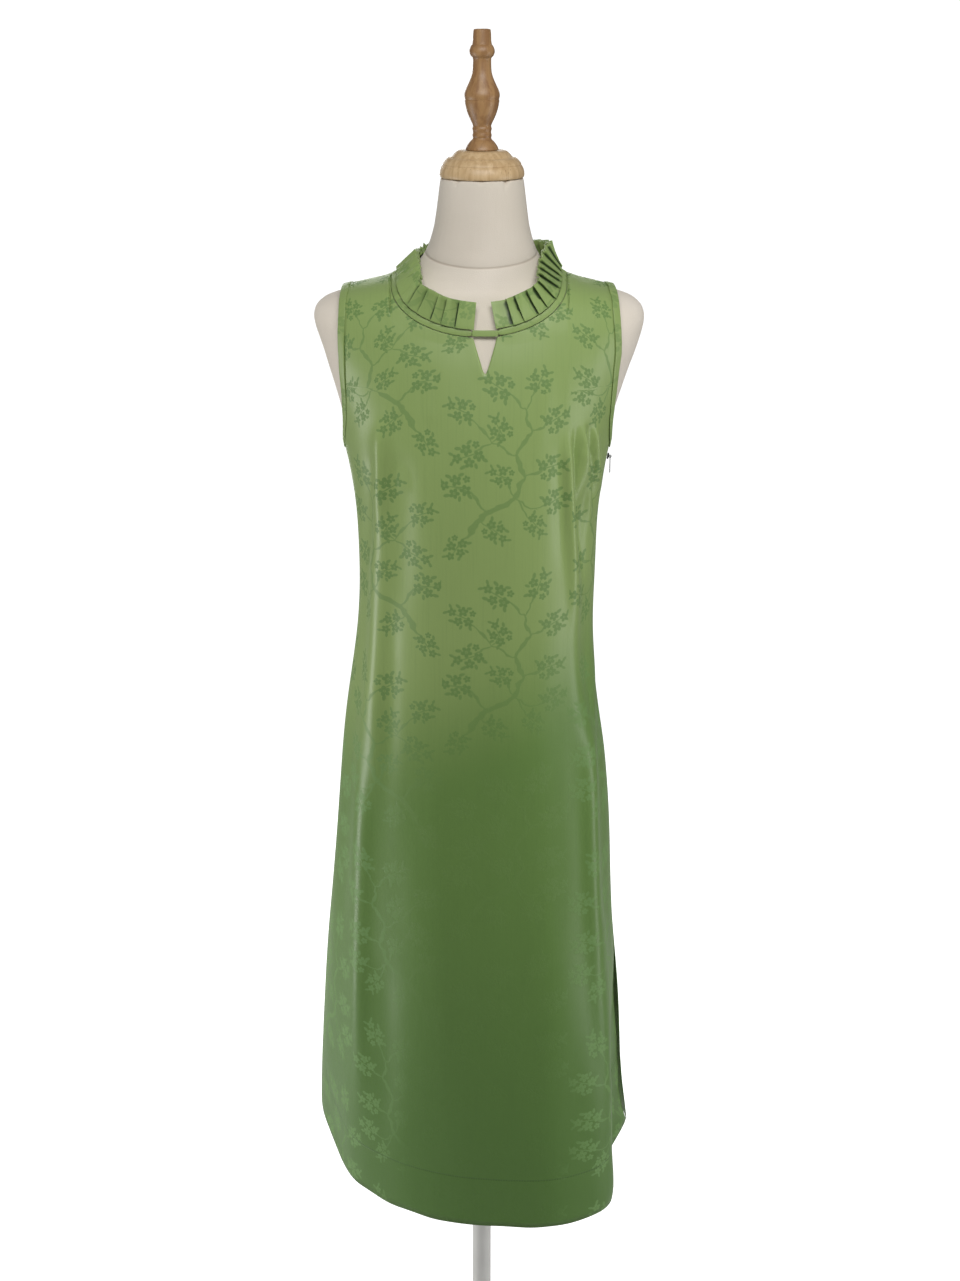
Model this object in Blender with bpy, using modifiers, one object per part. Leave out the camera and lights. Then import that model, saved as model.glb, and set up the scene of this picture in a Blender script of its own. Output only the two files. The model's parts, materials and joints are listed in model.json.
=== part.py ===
"""Sleeveless cheongsam in jacquard satin, standing on a cloth-covered limbless dress form.

Metres, +Z up, front towards -Y. The origin is the centre of the stand base's underside.
Heights in the tables are measured up from the middle of the front hem.
"""

import math

import bmesh
import bpy
import numpy as np
from mathutils import Matrix, Vector
from mathutils.bvhtree import BVHTree

# Driving sizes of the garment
HEM_LIFT = 0.33
WALL = 0.0012
SEAM_HALF_GAP = 0.00015
CLEAR = 0.0003
UNDERARM_UP = 0.992
STRAP_UP = 1.12
ARM_DEPTH = {"front": -0.060, "back": 0.058}
SHOULDER_END_X = {-1: -0.161, 1: 0.1525}
NECK_MIDDLE_X = -0.0035
NECK_HALF_WIDTH = 0.102
NECK_LOW_UP = {"front": 1.1315, "back": 1.177}
KEYHOLE_X = 0.0034
KEYHOLE_UP = 1.088
KEYHOLE_HALF_WIDTH = 0.0135
BINDING_WIDTH = 0.009
BINDING_WALL = 0.001
BINDING_LIFT = 0.0005
BINDING_STEP = 0.0072
BAND_WIDTH = 0.008
BAND_RISE = 0.0005
BAND_SINK = 0.0009
BAND_LIFT_ANGLE = math.radians(8)
RUFFLE_HEIGHT = 0.031
RUFFLE_WALL = 0.001
RUFFLE_SPREAD = 1.55
PLEATS = 38
FIRST_PLEAT = 0.021
PLEAT_LAP = 0.008
PLEAT_DEPTH = 0.0038
BAR_HEIGHT = 0.0068
BAR_THICKNESS = 0.0016
BAR_WIDTH = 0.0285
HEM_CORNER_RISE = 0.04
HEM_RISE_POWER = 8
HEM_RISE_FADE_UP = 0.35

# Driving sizes of the dress form and its stand
CAP_UNDER_UP = 1.297
CAP_HEIGHT = 0.030
POLE_RADIUS = 0.0125
BASE_RADIUS = 0.13
BASE_SOCKET_FLOOR = 0.010
FORM_SOCKET_DEPTH = 0.08
FORM_BOTTOM_UP = 0.47

# Driving sizes of the zip's slider and pull tab
ZIP_UP = 0.972
EYE_RADIUS = 0.00106
LOOP_RADIUS = 0.00188
LOOP_WIDTH = 0.001
SLIDER_SIZE = (0.0020, 0.0044, 0.0070)
TAB_WALL = 0.001
TAB_WIDTH = 0.0040
TAB_LENGTH = 0.0205

# Horizontal sections of the form: edges at the left and right, faces at the front and back.
# A power of 2 gives an ellipse, and a larger one a squarer section.
FORM_COLUMNS = ("up", "left", "right", "front", "back", "power_left", "power_right", "side", "turn")
FORM_ROWS = (
    (0.470, -0.150, 0.140, -0.095, 0.102, 2.2, 2.2, 0, 0),
    (0.500, -0.160, 0.150, -0.105, 0.115, 2.2, 2.2, 0, 0),
    (0.550, -0.164, 0.153, -0.108, 0.118, 2.2, 2.2, 0, 0),
    (0.600, -0.160, 0.149, -0.108, 0.112, 2.2, 2.2, 0, 0),
    (0.670, -0.146, 0.136, -0.104, 0.098, 2.2, 2.2, 0, 0),
    (0.730, -0.129, 0.121, -0.098, 0.085, 2.2, 2.2, 0, 0),
    (0.790, -0.122, 0.115, -0.096, 0.079, 2.2, 2.2, 0, 0),
    (0.850, -0.128, 0.121, -0.104, 0.083, 2.2, 2.2, 0, 0),
    (0.900, -0.139, 0.131, -0.117, 0.090, 2.2, 2.2, 0, 0),
    (0.960, -0.151, 0.141, -0.1245, 0.094, 2.2, 2.2, 0, 0),
    (1.000, -0.159, 0.147, -0.1235, 0.0945, 2.1, 2.1, 0, 0),
    (1.046, -0.169, 0.161, -0.119, 0.094, 2.1, 2.1, 0, 0),
    (1.082, -0.1798, 0.1728, -0.1115, 0.0925, 2.1, 2.1, 0, 0),
    (1.105, -0.1862, 0.1815, -0.1055, 0.090, 2.1, 2.1, 0, 0),
    (1.129, -0.1945, 0.1885, -0.0975, 0.085, 2.1, 2.1, 0, 0),
    (1.142, -0.1969, 0.1900, -0.0935, 0.082, 2.0, 2.0, 0, 0),
    (1.154, -0.1935, 0.1862, -0.0895, 0.0792, 1.9, 1.9, 0, 0),
    (1.1640, -0.1820, 0.1745, -0.0842, 0.0755, 1.85, 1.85, 0, 0),
    (1.1706, -0.1610, 0.1545, -0.0816, 0.0730, 1.8, 1.8, 0, 0),
    (1.1758, -0.1360, 0.1300, -0.0792, 0.0705, 1.8, 1.8, 0, 0),
    (1.1802, -0.1120, 0.1070, -0.0762, 0.0672, 1.8, 1.8, 0, 0),
    (1.1883, -0.0920, 0.0890, -0.0730, 0.0640, 1.8, 1.8, 0, 0),
    (1.1985, -0.0780, 0.0760, -0.0700, 0.0615, 1.85, 1.85, 0, 0),
    (1.2097, -0.0680, 0.0665, -0.0675, 0.0600, 1.9, 1.9, 0, 0),
    (1.221, -0.0618, 0.0605, -0.0605, 0.0560, 2.0, 2.0, 0, 0),
    (1.2437, -0.0545, 0.0540, -0.0540, 0.0530, 2.0, 2.0, 0, 0),
    (1.2784, -0.0500, 0.0500, -0.0500, 0.0500, 2.0, 2.0, 0, 0),
    (1.297, -0.0475, 0.0475, -0.0475, 0.0475, 2.0, 2.0, 0, 0),
)

# Horizontal sections of the dress, its outer face. Side is the depth of the side seams, and
# turn brings the right seam forwards and the left one back where the skirt hangs askew.
DRESS_COLUMNS = FORM_COLUMNS
DRESS_ROWS = (
    (-0.01, -0.2230, 0.1985, -0.150, 0.186, 2.05, 2.6, 0.058, -0.030),
    (0.0485, -0.2220, 0.1972, -0.1475, 0.180, 2.05, 2.6, 0.054, -0.028),
    (0.0825, -0.2208, 0.1918, -0.1465, 0.177, 2.05, 2.6, 0.052, -0.027),
    (0.149, -0.2170, 0.1856, -0.1445, 0.169, 2.05, 2.6, 0.047, -0.025),
    (0.215, -0.2120, 0.1828, -0.1420, 0.161, 2.1, 2.6, 0.042, -0.022),
    (0.279, -0.2071, 0.1779, -0.1395, 0.153, 2.1, 2.6, 0.035, -0.019),
    (0.341, -0.2011, 0.1708, -0.1370, 0.146, 2.1, 2.6, 0.029, -0.016),
    (0.402, -0.1938, 0.1665, -0.1345, 0.140, 2.15, 2.6, 0.023, -0.013),
    (0.4615, -0.1868, 0.1636, -0.1325, 0.134, 2.15, 2.6, 0.017, -0.011),
    (0.520, -0.1825, 0.1608, -0.1305, 0.129, 2.2, 2.6, 0.012, -0.009),
    (0.577, -0.1770, 0.1568, -0.1285, 0.125, 2.2, 2.55, 0.008, -0.007),
    (0.605, -0.1750, 0.1536, -0.1275, 0.121, 2.2, 2.55, 0.006, -0.006),
    (0.660, -0.1684, 0.1440, -0.1255, 0.110, 2.2, 2.5, 0.003, -0.005),
    (0.687, -0.1640, 0.1404, -0.1250, 0.104, 2.2, 2.5, 0.002, -0.004),
    (0.740, -0.1553, 0.1356, -0.1245, 0.098, 2.2, 2.5, 0, -0.003),
    (0.792, -0.1493, 0.1347, -0.1250, 0.096, 2.2, 2.5, 0, -0.002),
    (0.843, -0.1483, 0.1386, -0.1270, 0.096, 2.2, 2.5, 0, -0.001),
    (0.893, -0.1497, 0.1376, -0.1290, 0.097, 2.2, 2.45, 0, 0),
    (0.918, -0.1504, 0.1395, -0.1295, 0.098, 2.2, 2.4, 0, 0),
    (0.943, -0.1534, 0.1435, -0.1300, 0.099, 2.2, 2.35, 0, 0),
    (0.967, -0.1580, 0.1478, -0.1298, 0.0995, 2.15, 2.3, 0, 0),
    (0.992, -0.1635, 0.1520, -0.1285, 0.0995, 2.1, 2.2, 0, 0),
    (1.020, -0.1675, 0.1575, -0.1262, 0.0990, 2.1, 2.1, 0, 0),
    (1.046, -0.1730, 0.1655, -0.1225, 0.0980, 2.1, 2.1, 0, 0),
    (1.082, -0.1840, 0.1770, -0.1150, 0.0962, 2.1, 2.1, 0, 0),
    (1.105, -0.1904, 0.1857, -0.1092, 0.0937, 2.1, 2.1, 0, 0),
    (1.131, -0.1985, 0.1925, -0.1006, 0.0882, 2.1, 2.1, 0, 0),
    (1.144, -0.2008, 0.1940, -0.0970, 0.0857, 2.0, 2.0, 0, 0),
    (1.156, -0.1970, 0.1900, -0.0932, 0.0829, 1.9, 1.9, 0, 0),
    (1.167, -0.1850, 0.1775, -0.0900, 0.0803, 1.85, 1.85, 0, 0),
    (1.1747, -0.1620, 0.1555, -0.0878, 0.0780, 1.8, 1.8, 0, 0),
    (1.1806, -0.1370, 0.1310, -0.0853, 0.0755, 1.8, 1.8, 0, 0),
    (1.1862, -0.1130, 0.1080, -0.0828, 0.0728, 1.8, 1.8, 0, 0),
    (1.1942, -0.0930, 0.0900, -0.0792, 0.0697, 1.8, 1.8, 0, 0),
    (1.2022, -0.0790, 0.0770, -0.0757, 0.0667, 1.85, 1.85, 0, 0),
)

# The largest folds. Swing is the place across a panel: -1 left seam, 0 middle, 1 right seam.
FOLD_COLUMNS = ("face", "top_swing", "top_up", "low_swing", "low_up", "height", "width")
FOLD_ROWS = (
    ("front", -0.49, 1.04, -0.60, 0.78, 0.004, 0.13),
    ("front", -0.60, 0.92, -0.51, -0.05, 0.007, 0.16),
    ("front", -0.76, 1.00, -0.76, 0.30, -0.005, 0.16),
    ("front", 0.48, 1.04, 0.60, 0.78, 0.005, 0.12),
    ("front", 0.60, 0.92, 0.57, -0.25, 0.007, 0.15),
    ("front", 0.60, 1.03, 0.76, 0.58, -0.007, 0.13),
    ("front", 0.80, 0.33, 0.80, -0.40, -0.032, 0.27),
    ("front", 1.0, 0.32, 1.0, 0.02, -0.009, 0.22),
    ("front", -0.76, 0.14, -0.70, -0.20, -0.007, 0.22),
    ("front", -0.05, 0.55, -0.08, -0.30, 0.004, 0.34),
    ("front", 0.30, 0.50, 0.30, -0.30, 0.007, 0.32),
    ("back", -0.34, 0.98, -0.42, 0.10, -0.006, 0.20),
    ("back", 0.30, 0.94, 0.38, 0.20, -0.005, 0.18),
    ("back", -0.66, 0.90, -0.60, -0.25, 0.006, 0.18),
    ("back", 0.62, 0.86, 0.66, -0.25, 0.006, 0.17),
    ("back", 0.02, 0.62, -0.03, -0.30, 0.005, 0.24),
)

# Heights of the panel rows under the straps, before the hem's corners are rounded
PANEL_UPS = (
    0.0, 0.032, 0.065, 0.12, 0.18, 0.24, 0.30, 0.36, 0.42, 0.48, 0.54, 0.60, 0.655, 0.71,
    0.765, 0.82, 0.87, 0.915, 0.955, 0.992, 0.9964, 1.009, 1.0295, 1.056, 1.088, 1.104, 1.12,
)  # fmt: skip
STRAP_STEPS = 8
NECK_STEPS = 9
SHOULDER_STEPS = 3

# Lean of the pleated collar away from the line of the chest, by place round the neck:
# 0 at the front middle, 1 at the back middle
LEAN_COLUMNS = ("place", "right_degrees", "left_degrees")
LEAN_ROWS = (
    (0.0, -13, -3),
    (0.1, -11, -1),
    (0.2, -3, 3),
    (0.3, 6, 7),
    (0.42, 10, 8),
    (0.52, 24, 8),
    (0.65, 44, 12),
    (0.8, 36, 16),
    (1.0, 12, 12),
)

# Turned profiles, as height and radius, from the top down
FINIAL_ROWS = (
    (0.131, 0.0), (0.131, 0.0085), (0.1295, 0.0100), (0.1150, 0.0104), (0.1125, 0.0128),
    (0.1074, 0.0146), (0.1024, 0.0133), (0.1003, 0.0108), (0.0985, 0.0102), (0.0855, 0.0105),
    (0.0785, 0.0126), (0.0716, 0.0158), (0.0647, 0.0192), (0.0600, 0.0203), (0.0565, 0.0196),
    (0.0545, 0.0197), (0.0486, 0.0189), (0.0405, 0.0167), (0.0336, 0.0136), (0.0268, 0.0102),
    (0.0232, 0.0112), (0.0197, 0.0101), (0.0162, 0.0112), (0.0125, 0.0101), (0.0094, 0.0138),
    (0.0047, 0.0173), (0.0008, 0.0189), (0.0, 0.0180), (0.0, 0.0),
)  # fmt: skip
CAP_ROWS = (
    (0.030, 0.0), (0.030, 0.0270), (0.0282, 0.0298), (0.0250, 0.0330), (0.0225, 0.0345),
    (0.0215, 0.0400), (0.0185, 0.0425), (0.0150, 0.0450), (0.0080, 0.0480), (0.0035, 0.0485),
    (0.0008, 0.0478), (0.0, 0.0465), (0.0, 0.0),
)  # fmt: skip
BASE_ROWS = (
    (BASE_SOCKET_FLOOR, 0.0), (BASE_SOCKET_FLOOR, 0.01288), (0.045, 0.01288), (0.045, 0.0190),
    (0.0435, 0.0205), (0.018, 0.0210), (0.012, 0.0300), (0.0085, 0.1180), (0.0060, 0.1280),
    (0.0030, BASE_RADIUS), (0.0, 0.1285), (0.0, 0.0),
)  # fmt: skip


def clear_scene():
    for obj in list(bpy.data.objects):
        bpy.data.objects.remove(obj, do_unlink=True)


def new_collection(name):
    collection = bpy.data.collections.new(name)
    bpy.context.scene.collection.children.link(collection)
    return collection


def new_material(name, colour, roughness, metallic=0.0):
    material = bpy.data.materials.new(name)
    material.use_nodes = True
    shader = material.node_tree.nodes["Principled BSDF"]
    shader.inputs["Base Color"].default_value = (*colour, 1)
    shader.inputs["Roughness"].default_value = roughness
    shader.inputs["Metallic"].default_value = metallic
    return material


def add_object(name, mesh, material, collection):
    obj = bpy.data.objects.new(name, mesh)
    mesh.materials.clear()
    mesh.materials.append(material)
    mesh.shade_smooth()
    mesh.set_sharp_from_angle(angle=math.radians(40))
    collection.objects.link(obj)
    return obj


def smooth_reader(rows, names, name):
    """A smooth curve that keeps to the values of one named column, read at the first column."""
    at = np.array([row[0] for row in rows], float)
    values = np.array([row[names.index(name)] for row in rows], float)
    steps = np.diff(values) / np.diff(at)
    slopes = np.zeros(len(at))
    slopes[0], slopes[-1] = steps[0], steps[-1]
    for i in range(1, len(at) - 1):
        if steps[i - 1] * steps[i] > 0:
            slopes[i] = 2 * steps[i - 1] * steps[i] / (steps[i - 1] + steps[i])

    def read(place):
        place = min(max(place, at[0]), at[-1])
        i = min(int(np.searchsorted(at, place, "right")) - 1, len(at) - 2)
        span = at[i + 1] - at[i]
        t = (place - at[i]) / span
        start = values[i] * (1 + 2 * t) * (1 - t) ** 2 + slopes[i] * span * t * (1 - t) ** 2
        end = values[i + 1] * t * t * (3 - 2 * t) - slopes[i + 1] * span * t * t * (1 - t)
        return float(start + end)

    return read


def readers(rows, names):
    return {name: smooth_reader(rows, names, name) for name in names[1:]}


FORM = readers(FORM_ROWS, FORM_COLUMNS)
DRESS = readers(DRESS_ROWS, DRESS_COLUMNS)
LEAN = readers(LEAN_ROWS, LEAN_COLUMNS)
DRESS_TOP_UP = DRESS_ROWS[-1][0]


def fold_push(face, swing, up):
    """How far the folds move the cloth outwards at a place on a panel."""
    push = 0.0
    for row in FOLD_ROWS:
        fold = dict(zip(FOLD_COLUMNS, row))
        down = (fold["top_up"] - up) / (fold["top_up"] - fold["low_up"])
        if fold["face"] != face or not 0 < down < 1:
            continue
        middle = fold["top_swing"] + (fold["low_swing"] - fold["top_swing"]) * down
        across = abs(swing - middle) / fold["width"]
        if across < 1:
            fade = math.sin(math.pi * min(0.5, down * 2, (1 - down) * 2)) ** 2
            push += fold["height"] * fade * (1 + math.cos(math.pi * across)) / 2
    return push


def middle_and_half(shape, up):
    left, right = shape["left"](up), shape["right"](up)
    return (left + right) / 2, (right - left) / 2


def section_point(shape, face, swing, up):
    """The point of a horizontal section at a swing from -1, the left seam, to 1, the right seam."""
    middle, half = middle_and_half(shape, up)
    side = shape["side"](up)
    depth = shape[face](up) - side
    power = shape["power_right" if swing > 0 else "power_left"](up)
    angle = min(abs(swing), 1) * math.pi / 2
    across = math.copysign(math.sin(angle) ** (2 / power), swing)
    along = max(math.cos(angle), 0) ** (2 / power)
    x = middle + half * across
    y = side + shape["turn"](up) * across + depth * along
    if shape is DRESS:
        push = fold_push(face, swing, up)
        if push:
            outward = Vector((abs(across) ** (power - 1) / half, along ** (power - 1) / abs(depth)))
            outward = outward.normalized() * push
            x += outward.x if swing > 0 else -outward.x
            y += outward.y if depth > 0 else -outward.y
    return Vector((x, y, HEM_LIFT + up))


def swing_at_x(shape, x, up):
    middle, half = middle_and_half(shape, up)
    power = shape["power_right" if x > middle else "power_left"](up)
    across = min(abs(x - middle) / half, 1)
    return math.copysign(math.asin(across ** (power / 2)) * 2 / math.pi, x - middle)


def section_normal(shape, face, swing, up, step=0.004):
    """The outward normal of the section surface, from differences."""
    inner = math.copysign(max(abs(swing) - step * 4, 0), swing)
    outer = math.copysign(min(abs(swing) + step * 4, 1), swing)
    if abs(swing) < step * 4:
        inner, outer = swing - step * 4, swing + step * 4
    across = section_point(shape, face, outer, up) - section_point(shape, face, inner, up)
    rise = section_point(shape, face, swing, up + step) - section_point(shape, face, swing, up - step)
    normal = across.cross(rise).normalized()
    point = section_point(shape, face, swing, up)
    centre = Vector((middle_and_half(shape, up)[0], shape["side"](up), HEM_LIFT + up - 0.05))
    return normal if normal.dot(point - centre) > 0 else -normal


class Row:
    """One horizontal section of a face, read by arc length from its middle."""

    SAMPLES = 160

    def __init__(self, face, up):
        self.swings = np.linspace(-1, 1, self.SAMPLES + 1)
        points = np.array([section_point(DRESS, face, swing, up)[:2] for swing in self.swings])
        steps = np.linalg.norm(np.diff(points, axis=0), axis=1)
        arcs = np.concatenate(([0], np.cumsum(steps)))
        self.arcs = arcs - np.interp(0, self.swings, arcs)

    def arc(self, swing):
        return float(np.interp(swing, self.swings, self.arcs))

    def swing(self, arc):
        return float(np.interp(arc, self.arcs, self.swings))


def strap_place(face, x, climb):
    """Where a ray from over the bust meets the dress: climb 0 looks ahead and 1 straight up."""
    sign = -1 if face == "front" else 1
    ahead, above = math.cos(climb * math.pi / 2), math.sin(climb * math.pi / 2)
    near, far = 0.0, 0.25
    for _ in range(40):
        reach = (near + far) / 2
        up = STRAP_UP + reach * above
        middle, half = middle_and_half(DRESS, up)
        power = DRESS["power_right" if x > middle else "power_left"](up)
        depth = abs(DRESS[face](up))
        size = (abs(x - middle) / half) ** power + (reach * ahead / depth) ** power
        if up < DRESS_TOP_UP and size < 1:
            near = reach
        else:
            far = reach
    up = STRAP_UP + near * above
    return sign * near * ahead, up


def neckline_up(face, x):
    corner = NECK_MIDDLE_X + math.copysign(NECK_HALF_WIDTH, x - NECK_MIDDLE_X)
    ridge_up = strap_place(face, corner, 1)[1]
    across = min(abs(x - NECK_MIDDLE_X) / NECK_HALF_WIDTH, 1)
    low = NECK_LOW_UP[face]
    return low + (ridge_up - low) * (1 - math.sqrt(1 - across * across))


def top_climb(face, x):
    """The climb at which a column of the strap meets the neckline, or the shoulder seam."""
    if abs(x - NECK_MIDDLE_X) > NECK_HALF_WIDTH - 1e-6:
        return 1.0
    wanted = neckline_up(face, x)
    low, high = 0.0, 1.0
    for _ in range(30):
        middle = (low + high) / 2
        if strap_place(face, x, middle)[1] < wanted:
            low = middle
        else:
            high = middle
    return low


def armhole_swing(face, side, up):
    """The swing of the armhole's edge between the underarm and the straps."""
    if up <= UNDERARM_UP + 1e-6:
        return side * 1.0
    drop = (STRAP_UP - up) / (STRAP_UP - UNDERARM_UP)
    y = abs(ARM_DEPTH[face]) * math.sqrt(max(1 - drop * drop, 0))
    power = DRESS["power_right" if side > 0 else "power_left"](up)
    along = min(y / abs(DRESS[face](up)), 1)
    return side * math.acos(along ** (power / 2)) * 2 / math.pi


def armhole_strap_x(face, side, climb):
    """The armhole's edge over the straps runs straight to the shoulder's end."""
    low_x = section_point(DRESS, face, armhole_swing(face, side, STRAP_UP), STRAP_UP).x
    return low_x + (SHOULDER_END_X[side] - low_x) * climb


def keyhole_edge_x(side, up):
    opened = (up - KEYHOLE_UP) / (NECK_LOW_UP["front"] - KEYHOLE_UP)
    return KEYHOLE_X + side * KEYHOLE_HALF_WIDTH * max(opened, 0)


def column_ends(face, side):
    """X of each column of a half panel at the foot and at the top of the strap, middle first."""
    if face == "front":
        first_low, first_high = keyhole_edge_x(side, STRAP_UP), keyhole_edge_x(side, NECK_LOW_UP["front"])
    else:
        first_low, first_high = KEYHOLE_X, KEYHOLE_X
    first_angle = math.asin((first_high - NECK_MIDDLE_X) * side / NECK_HALF_WIDTH)
    ends = [(first_low, first_high)]
    for i in range(1, NECK_STEPS + 1):
        angle = first_angle + (math.pi / 2 - first_angle) * i / NECK_STEPS
        x = NECK_MIDDLE_X + side * NECK_HALF_WIDTH * math.sin(angle)
        ends.append((x, x))
    neck_side = ends[-1][0]
    edge_low = armhole_strap_x(face, side, 0)
    edge_high = armhole_strap_x(face, side, 1)
    for i in range(1, SHOULDER_STEPS + 1):
        part = i / SHOULDER_STEPS
        low = neck_side + (edge_low - side * BINDING_WIDTH - neck_side) * part
        high = neck_side + (edge_high - side * BINDING_WIDTH - neck_side) * part
        ends.append((low, high))
    ends.append((edge_low, edge_high))
    return ends


def half_panel(face, side):
    """Places (swing, up) of one half of a panel, as rows of columns from the middle outwards."""
    ends = column_ends(face, side)
    last = len(ends) - 1
    strap_row = Row(face, STRAP_UP)
    strap_arcs = [strap_row.arc(swing_at_x(DRESS, low, STRAP_UP)) for low, _ in ends]
    strap_span = strap_arcs[last - 1] - strap_arcs[0]
    rows = []
    for up in PANEL_UPS:
        row = Row(face, up)
        edge = row.arc(armhole_swing(face, side, up))
        edge -= side * SEAM_HALF_GAP if up <= UNDERARM_UP else 0
        middle_x = keyhole_edge_x(side, up) if face == "front" else KEYHOLE_X
        middle = row.arc(swing_at_x(DRESS, middle_x, up))
        inner_edge = edge - side * BINDING_WIDTH
        chest = min(max((up - 0.90) / 0.14, 0), 1)
        places = []
        for j in range(last):
            even = j / (last - 1)
            shaped = (strap_arcs[j] - strap_arcs[0]) / strap_span
            part = even + (shaped - even) * chest
            places.append(row.swing(middle + (inner_edge - middle) * part))
        places.append(row.swing(edge))
        rows.append([(swing, hem_up(swing, up)) for swing in places])
    climbs = [top_climb(face, high) for _, high in ends]
    for i in range(1, STRAP_STEPS + 1):
        part = i / STRAP_STEPS
        places = []
        for (low, high), climb in zip(ends, climbs):
            x = low + (high - low) * part
            _, up = strap_place(face, x, climb * part)
            places.append((swing_at_x(DRESS, x, up), up))
        rows.append(places)
    return rows


def hem_up(swing, up):
    """Rounds the hem's corners up towards the side slits."""
    fade = max(1 - up / HEM_RISE_FADE_UP, 0)
    across = math.sin(abs(swing) * math.pi / 2)
    return up + HEM_CORNER_RISE * across**HEM_RISE_POWER * fade


def close_shell(name, outer, inner, faces):
    """A mesh from two like skins of points, stitched along their free edges."""
    count = len(outer)
    edges = {(face[i], face[(i + 1) % len(face)]) for face in faces for i in range(len(face))}
    rim = [(a, b) for a, b in edges if (b, a) not in edges]
    walls = [(b, a, a + count, b + count) for a, b in rim]
    backs = [tuple(index + count for index in reversed(face)) for face in faces]
    mesh = bpy.data.meshes.new(name)
    mesh.from_pydata([*outer, *inner], [], [*faces, *backs, *walls])
    bm = bmesh.new()
    bm.from_mesh(mesh)
    bmesh.ops.recalc_face_normals(bm, faces=bm.faces)
    if bm.calc_volume(signed=True) < 0:
        bmesh.ops.reverse_faces(bm, faces=bm.faces)
    bm.to_mesh(mesh)
    bm.free()
    return mesh


def seam_depth(up):
    return DRESS["side"](up)


def two_triangles(quad, points):
    """A four-sided face split along its shorter diagonal."""
    a, b, c, d = quad
    if (points[a] - points[c]).length < (points[b] - points[d]).length:
        return [(a, b, c), (a, c, d)]
    return [(a, b, d), (b, c, d)]


def panel_point(face, swing, up, depth=0):
    """A point of a panel, kept to its own side of the plane of the seam."""
    point = section_point(DRESS, face, swing, up)
    point -= section_normal(DRESS, face, swing, up) * depth
    if abs(swing) > 0.9:
        sign = -1 if face == "front" else 1
        seam = DRESS["side"](up) + DRESS["turn"](up) * math.copysign(1, swing)
        seam += sign * SEAM_HALF_GAP
        point.y = sign * max(sign * point.y, sign * seam)
    return point


def panel_mesh(face):
    """A panel and its outer skin: inner points lie a wall's thickness inside the outer ones."""
    keyhole_row = PANEL_UPS.index(KEYHOLE_UP) if face == "front" else None
    halves = {side: half_panel(face, side) for side in (-1, 1)}
    outer, inner, index = [], [], {}
    for side, rows in halves.items():
        for i, row in enumerate(rows):
            for j, (swing, up) in enumerate(row):
                joined = j == 0 and side == 1 and (keyhole_row is None or i <= keyhole_row)
                if joined:
                    index[side, i, 0] = index[-1, i, 0]
                    continue
                index[side, i, j] = len(outer)
                outer.append(panel_point(face, swing, up))
                inner.append(panel_point(face, swing, up, WALL))
    faces = []
    for side, rows in halves.items():
        for i in range(len(rows) - 1):
            for j in range(len(rows[0]) - 1):
                corners = [(i, j), (i, j + 1), (i + 1, j + 1), (i + 1, j)]
                quad = [index[side, a, b] for a, b in corners]
                if side == -1:
                    quad.reverse()
                faces += two_triangles(quad, outer)
    if face == "back":
        faces = [tuple(reversed(points)) for points in faces]
    return close_shell("dress_" + face, outer, inner, faces), BVHTree.FromPolygons(outer, faces)


def form_mesh():
    """The torso and neck as one closed loft through its own sections."""
    around = 20
    swings = [-1 + 2 * i / around for i in range(around)]
    bm = bmesh.new()
    rings = []
    for row in FORM_ROWS:
        ring = [section_point(FORM, "front", swing, row[0]) for swing in swings]
        ring += [section_point(FORM, "back", -swing, row[0]) for swing in swings]
        rings.append([bm.verts.new(point) for point in ring])
    for low, high in zip(rings, rings[1:]):
        for i in range(len(low)):
            j = (i + 1) % len(low)
            bm.faces.new((low[i], low[j], high[j], high[i]))
    bm.faces.new(list(reversed(rings[0])))
    bm.faces.new(rings[-1])
    bmesh.ops.recalc_face_normals(bm, faces=bm.faces)
    mesh = bpy.data.meshes.new("form_torso")
    bm.to_mesh(mesh)
    bm.free()
    return mesh


def armhole_edge(face, side):
    """The corners of a panel's armhole edge, with their normals, from the underarm upwards."""
    corners = []
    for row in half_panel(face, side)[PANEL_UPS.index(UNDERARM_UP) :]:
        swing, up = row[-1]
        corners.append((panel_point(face, swing, up), section_normal(DRESS, face, swing, up)))
    return corners


def onto_dress(point):
    """Brings a point to the dress's surface, straight in or out of its section."""
    up = point.z - HEM_LIFT
    face = "front" if point.y < seam_depth(up) else "back"
    middle, half = middle_and_half(DRESS, up)
    power = DRESS["power_right" if point.x > middle else "power_left"](up)
    depth = abs(DRESS[face](up) - seam_depth(up))
    across = abs(point.x - middle) / half
    along = abs(point.y - seam_depth(up)) / depth
    scale = (across**power + along**power) ** (-1 / power)
    swing = swing_at_x(DRESS, middle + (point.x - middle) * scale, up)
    return section_point(DRESS, face, swing, up), section_normal(DRESS, face, swing, up)


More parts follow.
